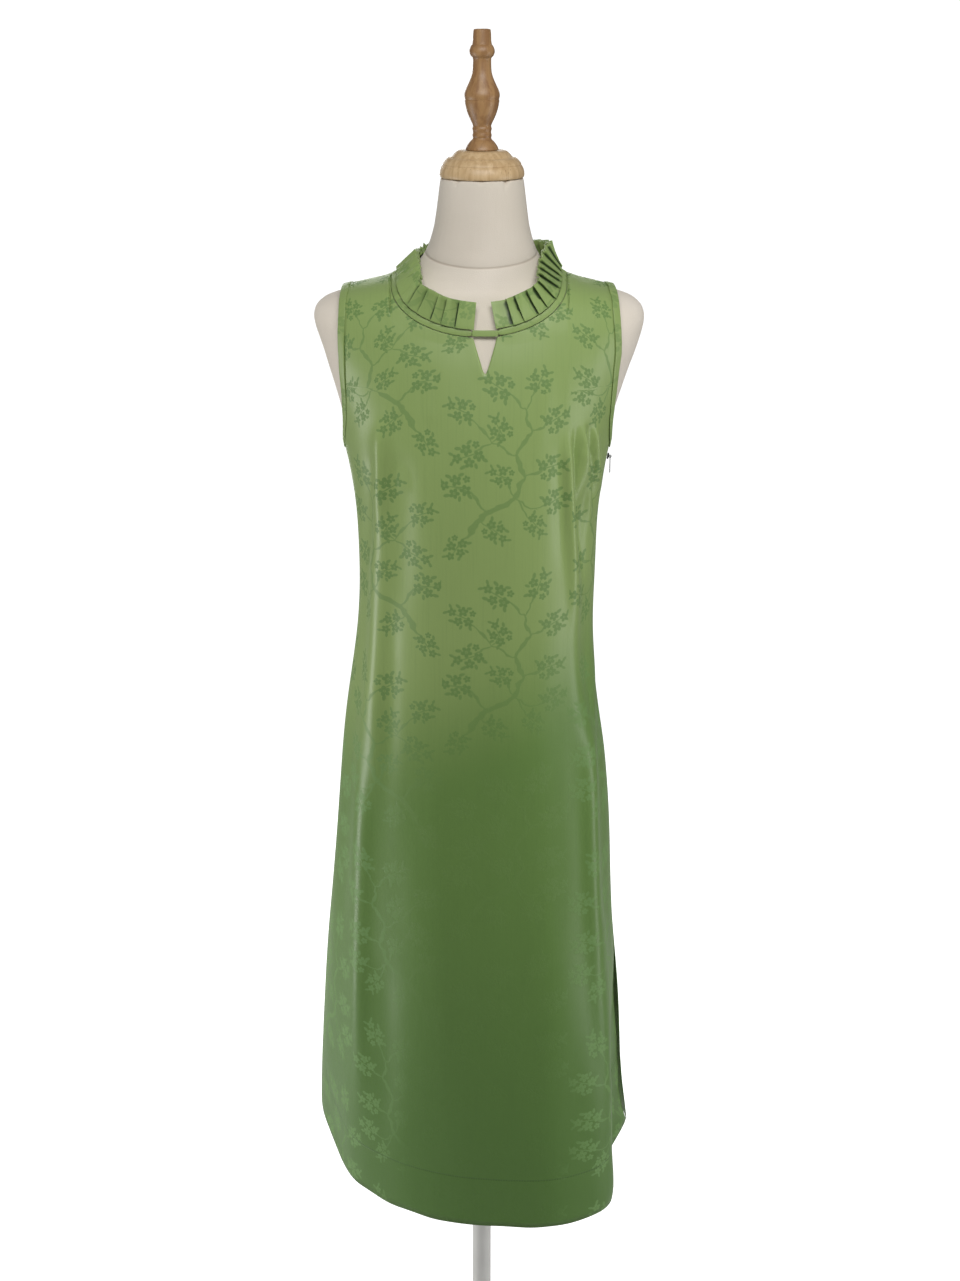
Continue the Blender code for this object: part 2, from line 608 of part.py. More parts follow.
def binding_mesh(side, skins):
    """A strip round an armhole, laid on the panels' outer faces and passing over both seams."""
    corners = armhole_edge("front", side) + armhole_edge("back", side)[::-1]
    edge, normals = [], []
    for (start, first), (end, second) in zip(corners, corners[1:] + corners[:1]):
        steps = max(round((end - start).length / BINDING_STEP), 1)
        for i in range(steps):
            edge.append(start.lerp(end, i / steps))
            normals.append(first.lerp(second, i / steps).normalized())
    centre = sum(edge, Vector()) / len(edge)
    rings = []
    for i, (point, normal) in enumerate(zip(edge, normals)):
        along = (edge[(i + 1) % len(edge)] - edge[i - 1]).normalized()
        inward = along.cross(normal).normalized()
        if inward.dot(point - centre) < 0:
            inward = -inward
        lines = [(point - inward * CLEAR, normal)]
        for part in (0.5, 1):
            laid, laid_normal = onto_dress(point + inward * BINDING_WIDTH * part)
            lines.append((nearest_on(skins, laid), laid_normal))
        under = [point + out * BINDING_LIFT for point, out in lines]
        over = [point + out * (BINDING_LIFT + BINDING_WALL) for point, out in lines]
        rings.append(under + over[::-1])
    return loop_mesh("armhole_binding", rings, closed=True)


def nearest_on(skins, point):
    hits = [skin.find_nearest(point) for skin in skins]
    return min(hits, key=lambda hit: hit[3])[0]


def loop_mesh(name, rings, closed):
    """Like rings of points joined one to the next, closed on itself or capped at its two ends."""
    bm = bmesh.new()
    loops = [[bm.verts.new(point) for point in ring] for ring in rings]
    pairs = list(zip(loops, loops[1:] + loops[:1] if closed else loops[1:]))
    for low, high in pairs:
        for i in range(len(low)):
            j = (i + 1) % len(low)
            bm.faces.new((low[i], low[j], high[j], high[i]))
    if not closed:
        bm.faces.new(list(reversed(loops[0])))
        bm.faces.new(loops[-1])
    bmesh.ops.recalc_face_normals(bm, faces=bm.faces)
    mesh = bpy.data.meshes.new(name)
    bm.to_mesh(mesh)
    bm.free()
    return mesh


def neck_edge(face, side):
    """The corners of a half panel's neckline, with their normals, from the middle outwards."""
    corners = []
    for _, x in column_ends(face, side)[: NECK_STEPS + 1]:
        up = strap_place(face, x, top_climb(face, x))[1]
        swing = swing_at_x(DRESS, x, up)
        corners.append((panel_point(face, swing, up), section_normal(DRESS, face, swing, up)))
    return corners


class Neckline:
    """The neckline from its right end at the keyhole round the back to its left end."""

    def __init__(self):
        corners = neck_edge("front", 1) + neck_edge("back", 1)[::-1]
        corners += neck_edge("back", -1)[1:] + neck_edge("front", -1)[::-1]
        self.points = np.array([tuple(point) for point, _ in corners])
        self.normals = np.array([tuple(normal) for _, normal in corners])
        steps = np.linalg.norm(np.diff(self.points, axis=0), axis=1)
        self.at = np.concatenate(([0], np.cumsum(steps)))
        self.length = float(self.at[-1])

    def read(self, values, place):
        return Vector(float(np.interp(place, self.at, values[:, axis])) for axis in range(3))

    def frame(self, place, step=0.005):
        """The point, its normal, and the way from the neckline up towards the neck."""
        point = self.read(self.points, place)
        normal = self.read(self.normals, place).normalized()
        along = self.read(self.points, min(place + step, self.length))
        along = (along - self.read(self.points, max(place - step, 0))).normalized()
        towards_neck = along.cross(normal).normalized()
        if towards_neck.z < 0:
            towards_neck = -towards_neck
        return point, normal, towards_neck

    def band_top(self, place):
        """The upper edge of the neck band, and the lifted way that the band lies in."""
        point, normal, towards_neck = self.frame(place)
        lifted = towards_neck * math.cos(BAND_LIFT_ANGLE) + normal * math.sin(BAND_LIFT_ANGLE)
        return point + lifted * BAND_WIDTH, lifted, normal


def band_mesh(neckline):
    """A narrow flat band inside the neckline, open at the keyhole."""
    rings = []
    for place in neckline.at:
        point, _, _ = neckline.frame(place)
        top, lifted, normal = neckline.band_top(place)
        foot = point + lifted * CLEAR * 1.5
        rings.append(
            [
                foot - normal * BAND_SINK,
                foot + normal * BAND_RISE,
                top + normal * BAND_RISE,
                top - normal * BAND_SINK,
            ]
        )
    return loop_mesh("neck_band", rings, closed=False)


def pleat_path(length):
    """The pleated strip seen from above, as (distance, depth) from its left front end.

    Each pleat's outer face runs to its fold, then the cloth turns back under it by the lap,
    and forwards again as the next pleat. All the pleats turn the same way round the neck.
    """
    layer = RUFFLE_WALL + CLEAR
    pitch = (length - 2 * FIRST_PLEAT) / (PLEATS - 1)
    folds = [FIRST_PLEAT + pitch * (i + 0.12 * math.sin(2.3 * i)) for i in range(PLEATS)]
    slope = PLEAT_DEPTH / (pitch + PLEAT_LAP)
    path = [(0.0, PLEAT_DEPTH - slope * FIRST_PLEAT * 0.6)]
    under = None
    for fold in folds:
        turn = fold - PLEAT_LAP
        if under is not None:
            path.append((under[1], depth_on_strip(under, fold, under[1])))
        path.append((turn, depth_on_strip(under, fold, turn)))
        path += [(fold, PLEAT_DEPTH), (fold, PLEAT_DEPTH - layer), (turn, layer), (turn, 0.0)]
        under = (turn, fold)
    path.append((under[1], depth_on_strip(under, length + PLEAT_LAP, under[1])))
    path.append((length, depth_on_strip(under, length + PLEAT_LAP, length)))
    return path


def depth_on_strip(under, fold, at):
    """Depth of a pleat's outer face, which climbs from its hidden turn to its own fold."""
    if under is None:
        return PLEAT_DEPTH - (fold - at) * 0.6 * PLEAT_DEPTH / (FIRST_PLEAT + PLEAT_LAP)
    return PLEAT_DEPTH * (at - under[0]) / (fold - under[0])


def ribbon_sides(path, wall):
    """The two sides of a ribbon of even wall along a path, mitred at its corners."""
    points = np.array(path)
    steps = np.diff(points, axis=0)
    steps /= np.linalg.norm(steps, axis=1)[:, None]
    across = np.stack([-steps[:, 1], steps[:, 0]], axis=1)
    before = np.vstack([across[:1], across])
    after = np.vstack([across, across[-1:]])
    mitre = before + after
    mitre /= (mitre * before).sum(axis=1)[:, None]
    return points + mitre * wall / 2, points - mitre * wall / 2


def ruffle_mesh(neckline):
    """The knife-pleated collar: the pleated path round the neck, raised off the neck band."""
    half = neckline.length / 2
    path = [(neckline.length - at, depth) for at, depth in reversed(pleat_path(neckline.length))]
    sides = ribbon_sides(path, RUFFLE_WALL)
    lifts = (0.0, 1.0)

    def place_point(at, depth, lift):
        place = min(max(at, 0), neckline.length)
        top, lifted, normal = neckline.band_top(place)
        round_part = min(place, neckline.length - place) / half
        column = "right_degrees" if place < half else "left_degrees"
        lean = math.radians(LEAN[column](round_part))
        stand = lifted * math.cos(lean) + normal * math.sin(lean)
        out = normal * math.cos(lean) - lifted * math.sin(lean)
        spread = 1 + (RUFFLE_SPREAD - 1) * lift
        offset = depth * spread + RUFFLE_WALL / 2 - BAND_SINK
        foot = (CLEAR * 1.4 + offset * math.sin(lean)) / math.cos(lean)
        beyond = (top - neckline.band_top(abs(place - 0.002))[0]).normalized() * (at - place)
        return top + beyond + stand * (foot + (RUFFLE_HEIGHT - foot) * lift) + out * offset

    bm = bmesh.new()
    grids = []
    for side in sides:
        points = side.tolist()
        grids.append([[bm.verts.new(place_point(*point, lift)) for point in points] for lift in lifts])
    outer, inner = grids
    for grid, flip in ((outer, False), (inner, True)):
        for low, high in zip(grid, grid[1:]):
            for i in range(len(low) - 1):
                corners = [low[i], low[i + 1], high[i + 1], high[i]]
                bm.faces.new(reversed(corners) if flip else corners)
    for i in range(len(outer[0]) - 1):
        bm.faces.new((outer[0][i + 1], outer[0][i], inner[0][i], inner[0][i + 1]))
        bm.faces.new((outer[-1][i], outer[-1][i + 1], inner[-1][i + 1], inner[-1][i]))
    for k in range(len(lifts) - 1):
        bm.faces.new((outer[k][0], outer[k + 1][0], inner[k + 1][0], inner[k][0]))
        bm.faces.new((outer[k + 1][-1], outer[k][-1], inner[k][-1], inner[k + 1][-1]))
    bmesh.ops.recalc_face_normals(bm, faces=bm.faces)
    mesh = bpy.data.meshes.new("collar_ruffle")
    bm.to_mesh(mesh)
    bm.free()
    return mesh


def block_mesh(name, size, bevel, segments):
    bm = bmesh.new()
    bmesh.ops.create_cube(bm, size=1)
    bmesh.ops.scale(bm, vec=size, verts=bm.verts)
    bmesh.ops.bevel(
        bm, geom=bm.edges, offset=bevel, segments=segments, profile=0.5, affect="EDGES"
    )
    mesh = bpy.data.meshes.new(name)
    bm.to_mesh(mesh)
    bm.free()
    return mesh


def turned_object(name, rows, z, steps, material, collection):
    """A turned piece from its profile of (height, radius) rows, top first."""
    mesh = bpy.data.meshes.new(name)
    points = [(radius, 0, height) for height, radius in rows]
    mesh.from_pydata(points, [(i, i + 1) for i in range(len(points) - 1)], [])
    obj = add_object(name, mesh, material, collection)
    obj.location.z = z
    screw = obj.modifiers.new("turn", "SCREW")
    screw.steps = screw.render_steps = steps
    screw.use_merge_vertices = True
    screw.merge_threshold = 0.0001
    return obj


def add_form(collection, cutters, cloth, wood):
    torso = add_object("form_torso", form_mesh(), cloth, collection)
    bpy.ops.mesh.primitive_cylinder_add(
        vertices=24,
        radius=POLE_RADIUS + CLEAR,
        depth=2 * FORM_SOCKET_DEPTH,
        location=(0, 0, HEM_LIFT + FORM_BOTTOM_UP),
    )
    socket = bpy.context.object
    socket.name = "socket_cutter"
    socket.hide_render = True
    socket.display_type = "WIRE"
    for owner in list(socket.users_collection):
        owner.objects.unlink(socket)
    cutters.objects.link(socket)
    cut = torso.modifiers.new("pole_socket", "BOOLEAN")
    cut.object = socket
    cap_z = HEM_LIFT + CAP_UNDER_UP + CLEAR
    turned_object("form_neck_cap", CAP_ROWS, cap_z, 28, wood, collection)
    turned_object("form_finial", FINIAL_ROWS, cap_z + CAP_HEIGHT + CLEAR, 20, wood, collection)


def add_stand(collection, metal):
    turned_object("stand_base", BASE_ROWS, 0, 36, metal, collection)
    low = BASE_SOCKET_FLOOR + CLEAR
    high = HEM_LIFT + FORM_BOTTOM_UP + FORM_SOCKET_DEPTH - CLEAR
    bpy.ops.mesh.primitive_cylinder_add(
        vertices=24, radius=POLE_RADIUS, depth=high - low, location=(0, 0, (low + high) / 2)
    )
    pole = bpy.context.object
    mesh = pole.data
    place = pole.location.copy()
    bpy.data.objects.remove(pole)
    add_object("stand_pole", mesh, metal, collection).location = place


def add_bar(collection, satin, neckline):
    """The covered bar laid across the two ends of the neck band."""
    mesh = block_mesh("front_bar", (BAR_WIDTH, BAR_THICKNESS, BAR_HEIGHT), 0.0007, 2)
    bar = add_object("front_bar", mesh, satin, collection)
    right, lifted, normal = neckline.band_top(0)
    left = neckline.band_top(neckline.length)[0]
    out = BAND_RISE + CLEAR * 2 + BAR_THICKNESS / 2
    middle = (right + left) / 2 - lifted * BAND_WIDTH / 2 + normal * out
    bar.rotation_euler.x = -math.atan2(lifted.y, lifted.z)
    bar.location = (KEYHOLE_X, middle.y, middle.z)


def loop_ring(outer_radius, inner_radius, width, segments):
    """A flat ring whose hole lies along Y."""
    rings = []
    for i in range(segments):
        turn = 2 * math.pi * i / segments
        spoke = Vector((math.cos(turn), 0, math.sin(turn)))
        half = Vector((0, width / 2, 0))
        rings.append(
            [
                spoke * inner_radius - half,
                spoke * outer_radius - half,
                spoke * outer_radius + half,
                spoke * inner_radius + half,
            ]
        )
    return loop_mesh("loop", rings, closed=True)


def add_zip(collection, metal):
    """The slider on the side seam, with its loop, and the pull tab that hangs in the loop."""
    seam = section_point(DRESS, "front", 1, ZIP_UP)
    above = section_point(DRESS, "front", 1, ZIP_UP + 0.008)
    below = section_point(DRESS, "front", 1, ZIP_UP - 0.008)
    tilt = math.atan2(above.x - below.x, above.z - below.z)
    depth, width, height = SLIDER_SIZE
    stand_off = 2 * CLEAR + depth + LOOP_RADIUS - 0.0003
    axis = seam + Vector((stand_off / math.cos(tilt), 0, 0))
    body_mesh = block_mesh("zip_slider", (depth, width, height), 0.0005, 1)
    body_place = Matrix.Rotation(tilt, 4, "Y") @ Matrix.Translation(
        (-LOOP_RADIUS + 0.0003 - depth / 2, 0, 0)
    )
    bm = bmesh.new()
    bm.from_mesh(body_mesh)
    bmesh.ops.transform(bm, matrix=body_place, verts=bm.verts)
    bm.to_mesh(body_mesh)
    bm.free()
    slider = add_object("zip_slider", body_mesh, metal, collection)
    slider.location = axis
    loop = bpy.data.objects.new("loop_tool", loop_ring(LOOP_RADIUS, EYE_RADIUS, LOOP_WIDTH, 16))
    loop.location = axis
    loop.hide_render = True
    loop.display_type = "WIRE"
    bpy.data.collections["cutters"].objects.link(loop)
    joined = slider.modifiers.new("loop", "BOOLEAN")
    joined.operation = "UNION"
    joined.object = loop
    pull = add_object("zip_pull", tab_mesh(), metal, collection)
    pull.location = axis


def tab_mesh():
    """The tab's outline with its eye, a bar's width under the top, given a wall along X."""
    half_bar = TAB_WALL / 2
    eye_low, eye_half = -0.0024, 0.0010
    outer = [(-TAB_WIDTH / 2 + 0.0006, half_bar), (-TAB_WIDTH / 2, half_bar - 0.0006)]
    outer += [(-TAB_WIDTH / 2 + 0.0004, -0.008), (-TAB_WIDTH / 2 - 0.0003, -TAB_LENGTH + 0.003)]
    outer += [(-TAB_WIDTH / 2 + 0.0008, -TAB_LENGTH + 0.0006)]
    eye = [(-eye_half, -half_bar), (-eye_half, eye_low)]
    outline = outer + [(-y, z) for y, z in reversed(outer)]
    hole = eye + [(-y, z) for y, z in reversed(eye)]
    curve = bpy.data.curves.new("zip_pull", "CURVE")
    curve.dimensions = "2D"
    curve.fill_mode = "BOTH"
    curve.extrude = TAB_WALL / 2
    for points in (outline, hole):
        spline = curve.splines.new("POLY")
        spline.points.add(len(points) - 1)
        for point, (y, z) in zip(spline.points, points):
            point.co = (y, z, 0, 1)
        spline.use_cyclic_u = True
    flat = bpy.data.objects.new("tab_curve", curve)
    bpy.context.scene.collection.objects.link(flat)
    graph = bpy.context.evaluated_depsgraph_get()
    mesh = bpy.data.meshes.new_from_object(flat.evaluated_get(graph))
    bpy.data.objects.remove(flat)
    bm = bmesh.new()
    bm.from_mesh(mesh)
    bmesh.ops.remove_doubles(bm, verts=bm.verts, dist=0.00001)
    stand_up = Matrix.Rotation(math.pi / 2, 4, "Z") @ Matrix.Rotation(math.pi / 2, 4, "X")
    bmesh.ops.transform(bm, matrix=stand_up, verts=bm.verts)
    bmesh.ops.recalc_face_normals(bm, faces=bm.faces)
    bm.to_mesh(mesh)
    bm.free()
    return mesh


def build():
    clear_scene()
    parts = new_collection("cheongsam_on_form")
    cutters = new_collection("cutters")
    satin = new_material("green_satin", (0.23, 0.35, 0.13), 0.4)
    linen = new_material("cream_cloth", (0.66, 0.60, 0.50), 0.9)
    wood = new_material("beech_wood", (0.50, 0.31, 0.14), 0.5)
    enamel = new_material("white_enamel", (0.78, 0.77, 0.74), 0.35)
    zip_metal = new_material("dark_zip_metal", (0.05, 0.06, 0.05), 0.4, 0.6)
    neckline = Neckline()
    add_form(parts, cutters, linen, wood)
    add_stand(parts, enamel)
    front, front_skin = panel_mesh("front")
    back, back_skin = panel_mesh("back")
    add_object("dress_front", front, satin, parts)
    add_object("dress_back", back, satin, parts)
    add_object("neck_band", band_mesh(neckline), satin, parts)
    add_object("collar_ruffle", ruffle_mesh(neckline), satin, parts)
    add_object("armhole_binding_left", binding_mesh(-1, (front_skin, back_skin)), satin, parts)
    add_object("armhole_binding_right", binding_mesh(1, (front_skin, back_skin)), satin, parts)
    add_bar(parts, satin, neckline)
    add_zip(parts, zip_metal)


build()
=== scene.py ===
import json
import math
import random

import bmesh
import bpy
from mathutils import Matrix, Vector, noise
from mathutils.bvhtree import BVHTree
from mathutils.kdtree import KDTree

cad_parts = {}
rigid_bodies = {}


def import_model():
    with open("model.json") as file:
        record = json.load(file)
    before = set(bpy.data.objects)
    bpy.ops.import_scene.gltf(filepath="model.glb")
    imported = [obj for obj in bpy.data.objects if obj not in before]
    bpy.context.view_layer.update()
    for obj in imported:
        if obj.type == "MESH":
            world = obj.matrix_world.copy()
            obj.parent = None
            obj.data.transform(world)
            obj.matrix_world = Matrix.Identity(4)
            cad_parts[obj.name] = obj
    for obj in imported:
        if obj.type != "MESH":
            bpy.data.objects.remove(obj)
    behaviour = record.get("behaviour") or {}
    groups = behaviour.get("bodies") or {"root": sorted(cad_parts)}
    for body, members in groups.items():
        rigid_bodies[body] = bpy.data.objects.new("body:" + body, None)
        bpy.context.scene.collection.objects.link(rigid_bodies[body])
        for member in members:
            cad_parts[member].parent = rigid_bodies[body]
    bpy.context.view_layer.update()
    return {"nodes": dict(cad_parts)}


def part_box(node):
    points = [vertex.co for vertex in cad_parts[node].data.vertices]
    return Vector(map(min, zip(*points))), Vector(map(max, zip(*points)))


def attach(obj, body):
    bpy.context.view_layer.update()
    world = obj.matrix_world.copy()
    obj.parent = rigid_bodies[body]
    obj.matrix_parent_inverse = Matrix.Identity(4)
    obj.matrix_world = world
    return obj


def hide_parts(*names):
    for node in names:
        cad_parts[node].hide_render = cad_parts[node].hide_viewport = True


for startup in list(bpy.data.objects):
    bpy.data.objects.remove(startup, do_unlink=True)
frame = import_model()
nodes = frame["nodes"]
random.seed(7)

# The camera of the photograph: 2.25 m in front of the form and a little above its shoulders,
# looking 19 degrees down on the dress.
camera_data = bpy.data.cameras.new("photo_camera")
camera_data.sensor_width = 36
camera_data.lens = 54.24
camera = bpy.data.objects.new("photo_camera", camera_data)
camera.location = (-0.0023, -2.25, 1.844)
camera.rotation_euler = (math.radians(71), 0, 0)
bpy.context.scene.collection.objects.link(camera)
bpy.context.scene.camera = camera

# The studio: a white paper floor and one wide soft lamp high in front, close enough that the
# chest is bright and the skirt falls darker, with weaker lamps at the sides for the satin. The
# satin's colour also carries painted light on the chest and painted shade on the skirt.
bpy.context.scene.view_settings.view_transform = "Standard"
world = bpy.data.worlds.new("studio")
world.use_nodes = True
sky = world.node_tree
sky.nodes["Background"].inputs["Color"].default_value = (1, 1, 1, 1)
seen = sky.nodes.new("ShaderNodeLightPath").outputs["Is Camera Ray"]
strength = sky.nodes.new("ShaderNodeMath")
strength.operation = "MULTIPLY_ADD"
strength.inputs[1].default_value = 0.76
strength.inputs[2].default_value = 0.24
sky.links.new(seen, strength.inputs[0])
sky.links.new(strength.outputs[0], sky.nodes["Background"].inputs["Strength"])
bpy.context.scene.world = world


def soft_lamp(name, place, aim, size, watts):
    data = bpy.data.lights.new(name, "AREA")
    data.shape = "RECTANGLE"
    data.size, data.size_y = size
    data.energy = watts
    lamp = bpy.data.objects.new(name, data)
    lamp.location = place
    lamp.rotation_euler = (Vector(aim) - Vector(place)).to_track_quat("-Z", "Y").to_euler()
    bpy.context.scene.collection.objects.link(lamp)


soft_lamp("front_lamp", (0.12, -1.15, 2.45), (0.02, 0, 1.32), (1.3, 0.6), 17)
soft_lamp("left_lamp", (-1.5, -0.12, 0.62), (-0.1, 0, 1.0), (0.5, 1.2), 12)
soft_lamp("right_lamp", (1.45, -0.55, 0.8), (0, 0, 0.9), (0.4, 1.5), 9)
soft_lamp("back_lamp", (-0.3, 2.1, 1.35), (0, 0, 1.05), (1.4, 1.4), 22)

floor_mesh = bpy.data.meshes.new("floor")
bm = bmesh.new()
bmesh.ops.create_grid(bm, x_segments=1, y_segments=1, size=400)
bmesh.ops.translate(bm, vec=(0, 0, -0.0005), verts=bm.verts)
bm.to_mesh(floor_mesh)
bm.free()
floor = bpy.data.objects.new("floor", floor_mesh)
bpy.context.scene.collection.objects.link(floor)
paper = bpy.data.materials.new("white_paper")
paper.use_nodes = True
shader = paper.node_tree.nodes["Principled BSDF"]
shader.inputs["Base Color"].default_value = (0.62, 0.62, 0.62, 1)
shader.inputs["Roughness"].default_value = 0.9
shader.inputs["Specular IOR Level"].default_value = 0.1
shader.inputs["Emission Color"].default_value = (1, 1, 1, 1)
seen = paper.node_tree.nodes.new("ShaderNodeLightPath").outputs["Is Camera Ray"]
paper.node_tree.links.new(seen, shader.inputs["Emission Strength"])
floor_mesh.materials.append(paper)


# The dress form: a hard foam torso in a stretched cream jersey, with the neck's cover sewn on
# in a curved seam. Its cover is smoothed from the solid's own shape.
def merged_copy(node):
    """The node's own mesh as a bmesh with its loose triangles joined."""
    bm = bmesh.new()
    bm.from_mesh(nodes[node].data)
    bmesh.ops.remove_doubles(bm, verts=bm.verts, dist=0.00004)
    return bm


def add_piece(name, bm, material, body, *replaced, slot):
    """Makes a finished piece that rides on a body and stands for its CAD nodes."""
    mesh = bpy.data.meshes.new(name)
    bm.to_mesh(mesh)
    bm.free()
    mesh.materials.append(material)
    mesh.shade_smooth()
    piece = bpy.data.objects.new(name, mesh)
    bpy.context.scene.collection.objects.link(piece)
    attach(piece, body)
    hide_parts(*replaced)
    return piece


def smoothed(bm, levels):
    """The same mesh after Catmull-Clark subdivision."""
    mesh = bpy.data.meshes.new("rough")
    bm.to_mesh(mesh)
    bm.free()
    rough = bpy.data.objects.new("rough", mesh)
    bpy.context.scene.collection.objects.link(rough)
    subdivision = rough.modifiers.new("smooth", "SUBSURF")
    subdivision.levels = subdivision.render_levels = levels
    subdivision.boundary_smooth = "PRESERVE_CORNERS"
    subdivision.use_limit_surface = False
    graph = bpy.context.evaluated_depsgraph_get()
    finished = bmesh.new()
    finished.from_mesh(rough.evaluated_get(graph).to_mesh())
    bpy.data.objects.remove(rough)
    bpy.data.meshes.remove(mesh)
    return finished


def new_material(name, roughness):
    material = bpy.data.materials.new(name)
    material.use_nodes = True
    shader = material.node_tree.nodes["Principled BSDF"]
    shader.inputs["Roughness"].default_value = roughness
    return material, material.node_tree, shader


def node(tree, kind, **inputs):
    """A shader node with its sockets set by name, underscores for spaces, or linked."""
    made = tree.nodes.new(kind)
    for name, value in inputs.items():
        socket = made.inputs[name.replace("_", " ")]
        if isinstance(value, bpy.types.NodeSocket):
            tree.links.new(value, socket)
        else:
            socket.default_value = value
    return made


def maths(tree, operation, *values, clamp=False):
    made = tree.nodes.new("ShaderNodeMath")
    made.operation = operation
    made.use_clamp = clamp
    for socket, value in zip(made.inputs, values):
        if isinstance(value, bpy.types.NodeSocket):
            tree.links.new(value, socket)
        else:
            socket.default_value = value
    return made.outputs[0]


def vector_maths(tree, operation, *values, output=0):
    made = tree.nodes.new("ShaderNodeVectorMath")
    made.operation = operation
    for socket, value in zip(made.inputs, values):
        if isinstance(value, bpy.types.NodeSocket):
            tree.links.new(value, socket)
        else:
            socket.default_value = value
    return made.outputs[output]


def smooth_step(tree, value, low, high):
    made = tree.nodes.new("ShaderNodeMapRange")
    made.interpolation_type = "SMOOTHSTEP"
    made.inputs["From Min"].default_value = low
    made.inputs["From Max"].default_value = high
    tree.links.new(value, made.inputs["Value"])
    return made.outputs["Result"]


def mixed(tree, factor, first, second):
    made = tree.nodes.new("ShaderNodeMix")
    made.data_type = "RGBA"
    for socket, value in ((made.inputs[0], factor), (made.inputs[6], first), (made.inputs[7], second)):
        if isinstance(value, bpy.types.NodeSocket):
            tree.links.new(value, socket)
        else:
            socket.default_value = value
    return made.outputs[2]


def bump(tree, shader, height, strength, distance):
    made = tree.nodes.new("ShaderNodeBump")
    made.inputs["Strength"].default_value = strength
    made.inputs["Distance"].default_value = distance
    tree.links.new(height, made.inputs["Height"])
    tree.links.new(made.outputs[0], shader.inputs["Normal"])


jersey, tree, shader = new_material("cream_jersey", 0.85)
place = node(tree, "ShaderNodeTexCoord").outputs["Object"]
blotches = node(tree, "ShaderNodeTexNoise", Vector=place, Scale=9.0, Detail=4.0).outputs["Fac"]
knit = node(tree, "ShaderNodeTexVoronoi", Vector=place, Scale=900.0).outputs["Distance"]
cloudy = smooth_step(tree, blotches, 0.35, 0.7)
cream = mixed(tree, cloudy, (0.74, 0.668, 0.565, 1), (0.79, 0.72, 0.625, 1))
NECK_SEAM_RISE, NECK_SEAM_TILT = 1.5455, 0.17
NECK_COVER_WIDE = 0.085
split = node(tree, "ShaderNodeSeparateXYZ", Vector=place).outputs
seam = maths(tree, "MULTIPLY_ADD", split[1], -NECK_SEAM_TILT, split[2])
seam = maths(tree, "SUBTRACT", seam, NECK_SEAM_RISE)
neck_step_and_painted_shade = smooth_step(tree, seam, -0.0008, 0.0008)
crease = maths(tree, "SUBTRACT", 1.0, smooth_step(tree, maths(tree, "ABSOLUTE", seam), 0.0002, 0.0018))
on_neck = maths(tree, "LESS_THAN", maths(tree, "ABSOLUTE", split[0]), NECK_COVER_WIDE)
crease = maths(tree, "MULTIPLY", crease, on_neck)
neck_step_and_painted_shade = maths(tree, "MULTIPLY", neck_step_and_painted_shade, on_neck)
# Painted shade: the neck above its seam is painted darker; the same mask also raises the cover's edge
# as a bump.
cream = mixed(tree, maths(tree, "MULTIPLY", neck_step_and_painted_shade, 0.55), cream, (0.545, 0.49, 0.41, 1))
cream = mixed(tree, maths(tree, "MULTIPLY", crease, 0.38), cream, (0.36, 0.27, 0.20, 1))
tree.links.new(cream, shader.inputs["Base Color"])
shader.inputs["Sheen Weight"].default_value = 0.15
shader.inputs["Sheen Roughness"].default_value = 0.5
relief = maths(tree, "MULTIPLY_ADD", crease, -3.0, knit)
bump(tree, shader, maths(tree, "MULTIPLY_ADD", neck_step_and_painted_shade, 1.6, relief), 0.25, 0.0005)
bm = smoothed(merged_copy("form_torso"), 2)
add_piece("form_torso_cover", bm, jersey, "dressed_form", "form_torso", slot="cream_cloth")

# The turned beech cap and finial on the neck, lathe work with beads, grooves and a vase shape.
# The lathe leaves sharp shoulders, and the grain runs up the length of the wood.
wood, tree, shader = new_material("turned_beech", 0.46)
place = node(tree, "ShaderNodeTexCoord").outputs["Object"]
stretch = node(tree, "ShaderNodeMapping", Vector=place, Scale=(1, 1, 0.09))
stretch = stretch.outputs[0]
rings = node(tree, "ShaderNodeTexNoise", Vector=stretch, Scale=160.0, Detail=5.0, Distortion=0.6)
pores = node(tree, "ShaderNodeTexNoise", Vector=stretch, Scale=900.0, Detail=2.0)
late_wood = smooth_step(tree, rings.outputs["Fac"], 0.35, 0.68)
brown_grain = mixed(tree, late_wood, (0.355, 0.200, 0.080, 1), (0.245, 0.122, 0.044, 1))
cap_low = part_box("form_neck_cap")[0].z
finial_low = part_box("form_finial")[0].z
height = node(tree, "ShaderNodeSeparateXYZ", Vector=place).outputs[2]
# Painted light: the cap's wood is painted paler than the finial's, as the cap catches the light from
# above.
painted_lit_cap_grain = mixed(tree, late_wood, (0.60, 0.43, 0.235, 1), (0.47, 0.31, 0.15, 1))
on_cap = maths(tree, "LESS_THAN", height, finial_low + 0.0004)
grain = mixed(tree, on_cap, brown_grain, painted_lit_cap_grain)
open_pores = smooth_step(tree, pores.outputs["Fac"], 0.64, 0.78)
grain = mixed(tree, open_pores, grain, (0.17, 0.085, 0.03, 1))
tree.links.new(grain, shader.inputs["Base Color"])
shader.inputs["Coat Weight"].default_value = 0.15
shader.inputs["Coat Roughness"].default_value = 0.3
bump(tree, shader, pores.outputs["Fac"], 0.12, 0.0002)


def turned(name, rows, z, steps, material, *replaced, slot):
    """Spins a profile of (height, radius) rows into a closed turning."""
    bm = bmesh.new()
    verts = [bm.verts.new((radius, 0, z + height)) for height, radius in rows]
    edges = [bm.edges.new(pair) for pair in zip(verts, verts[1:])]
    bmesh.ops.spin(
        bm,
        geom=verts + edges,
        cent=(0, 0, 0),
        axis=(0, 0, 1),
        angle=math.tau,
        steps=steps,
        use_merge=True,
    )
    bmesh.ops.remove_doubles(bm, verts=bm.verts, dist=0.00002)
    bmesh.ops.recalc_face_normals(bm, faces=bm.faces)
    piece = add_piece(name, bm, material, "dressed_form", *replaced, slot=slot)
    piece.data.set_sharp_from_angle(angle=math.radians(34))
    return piece


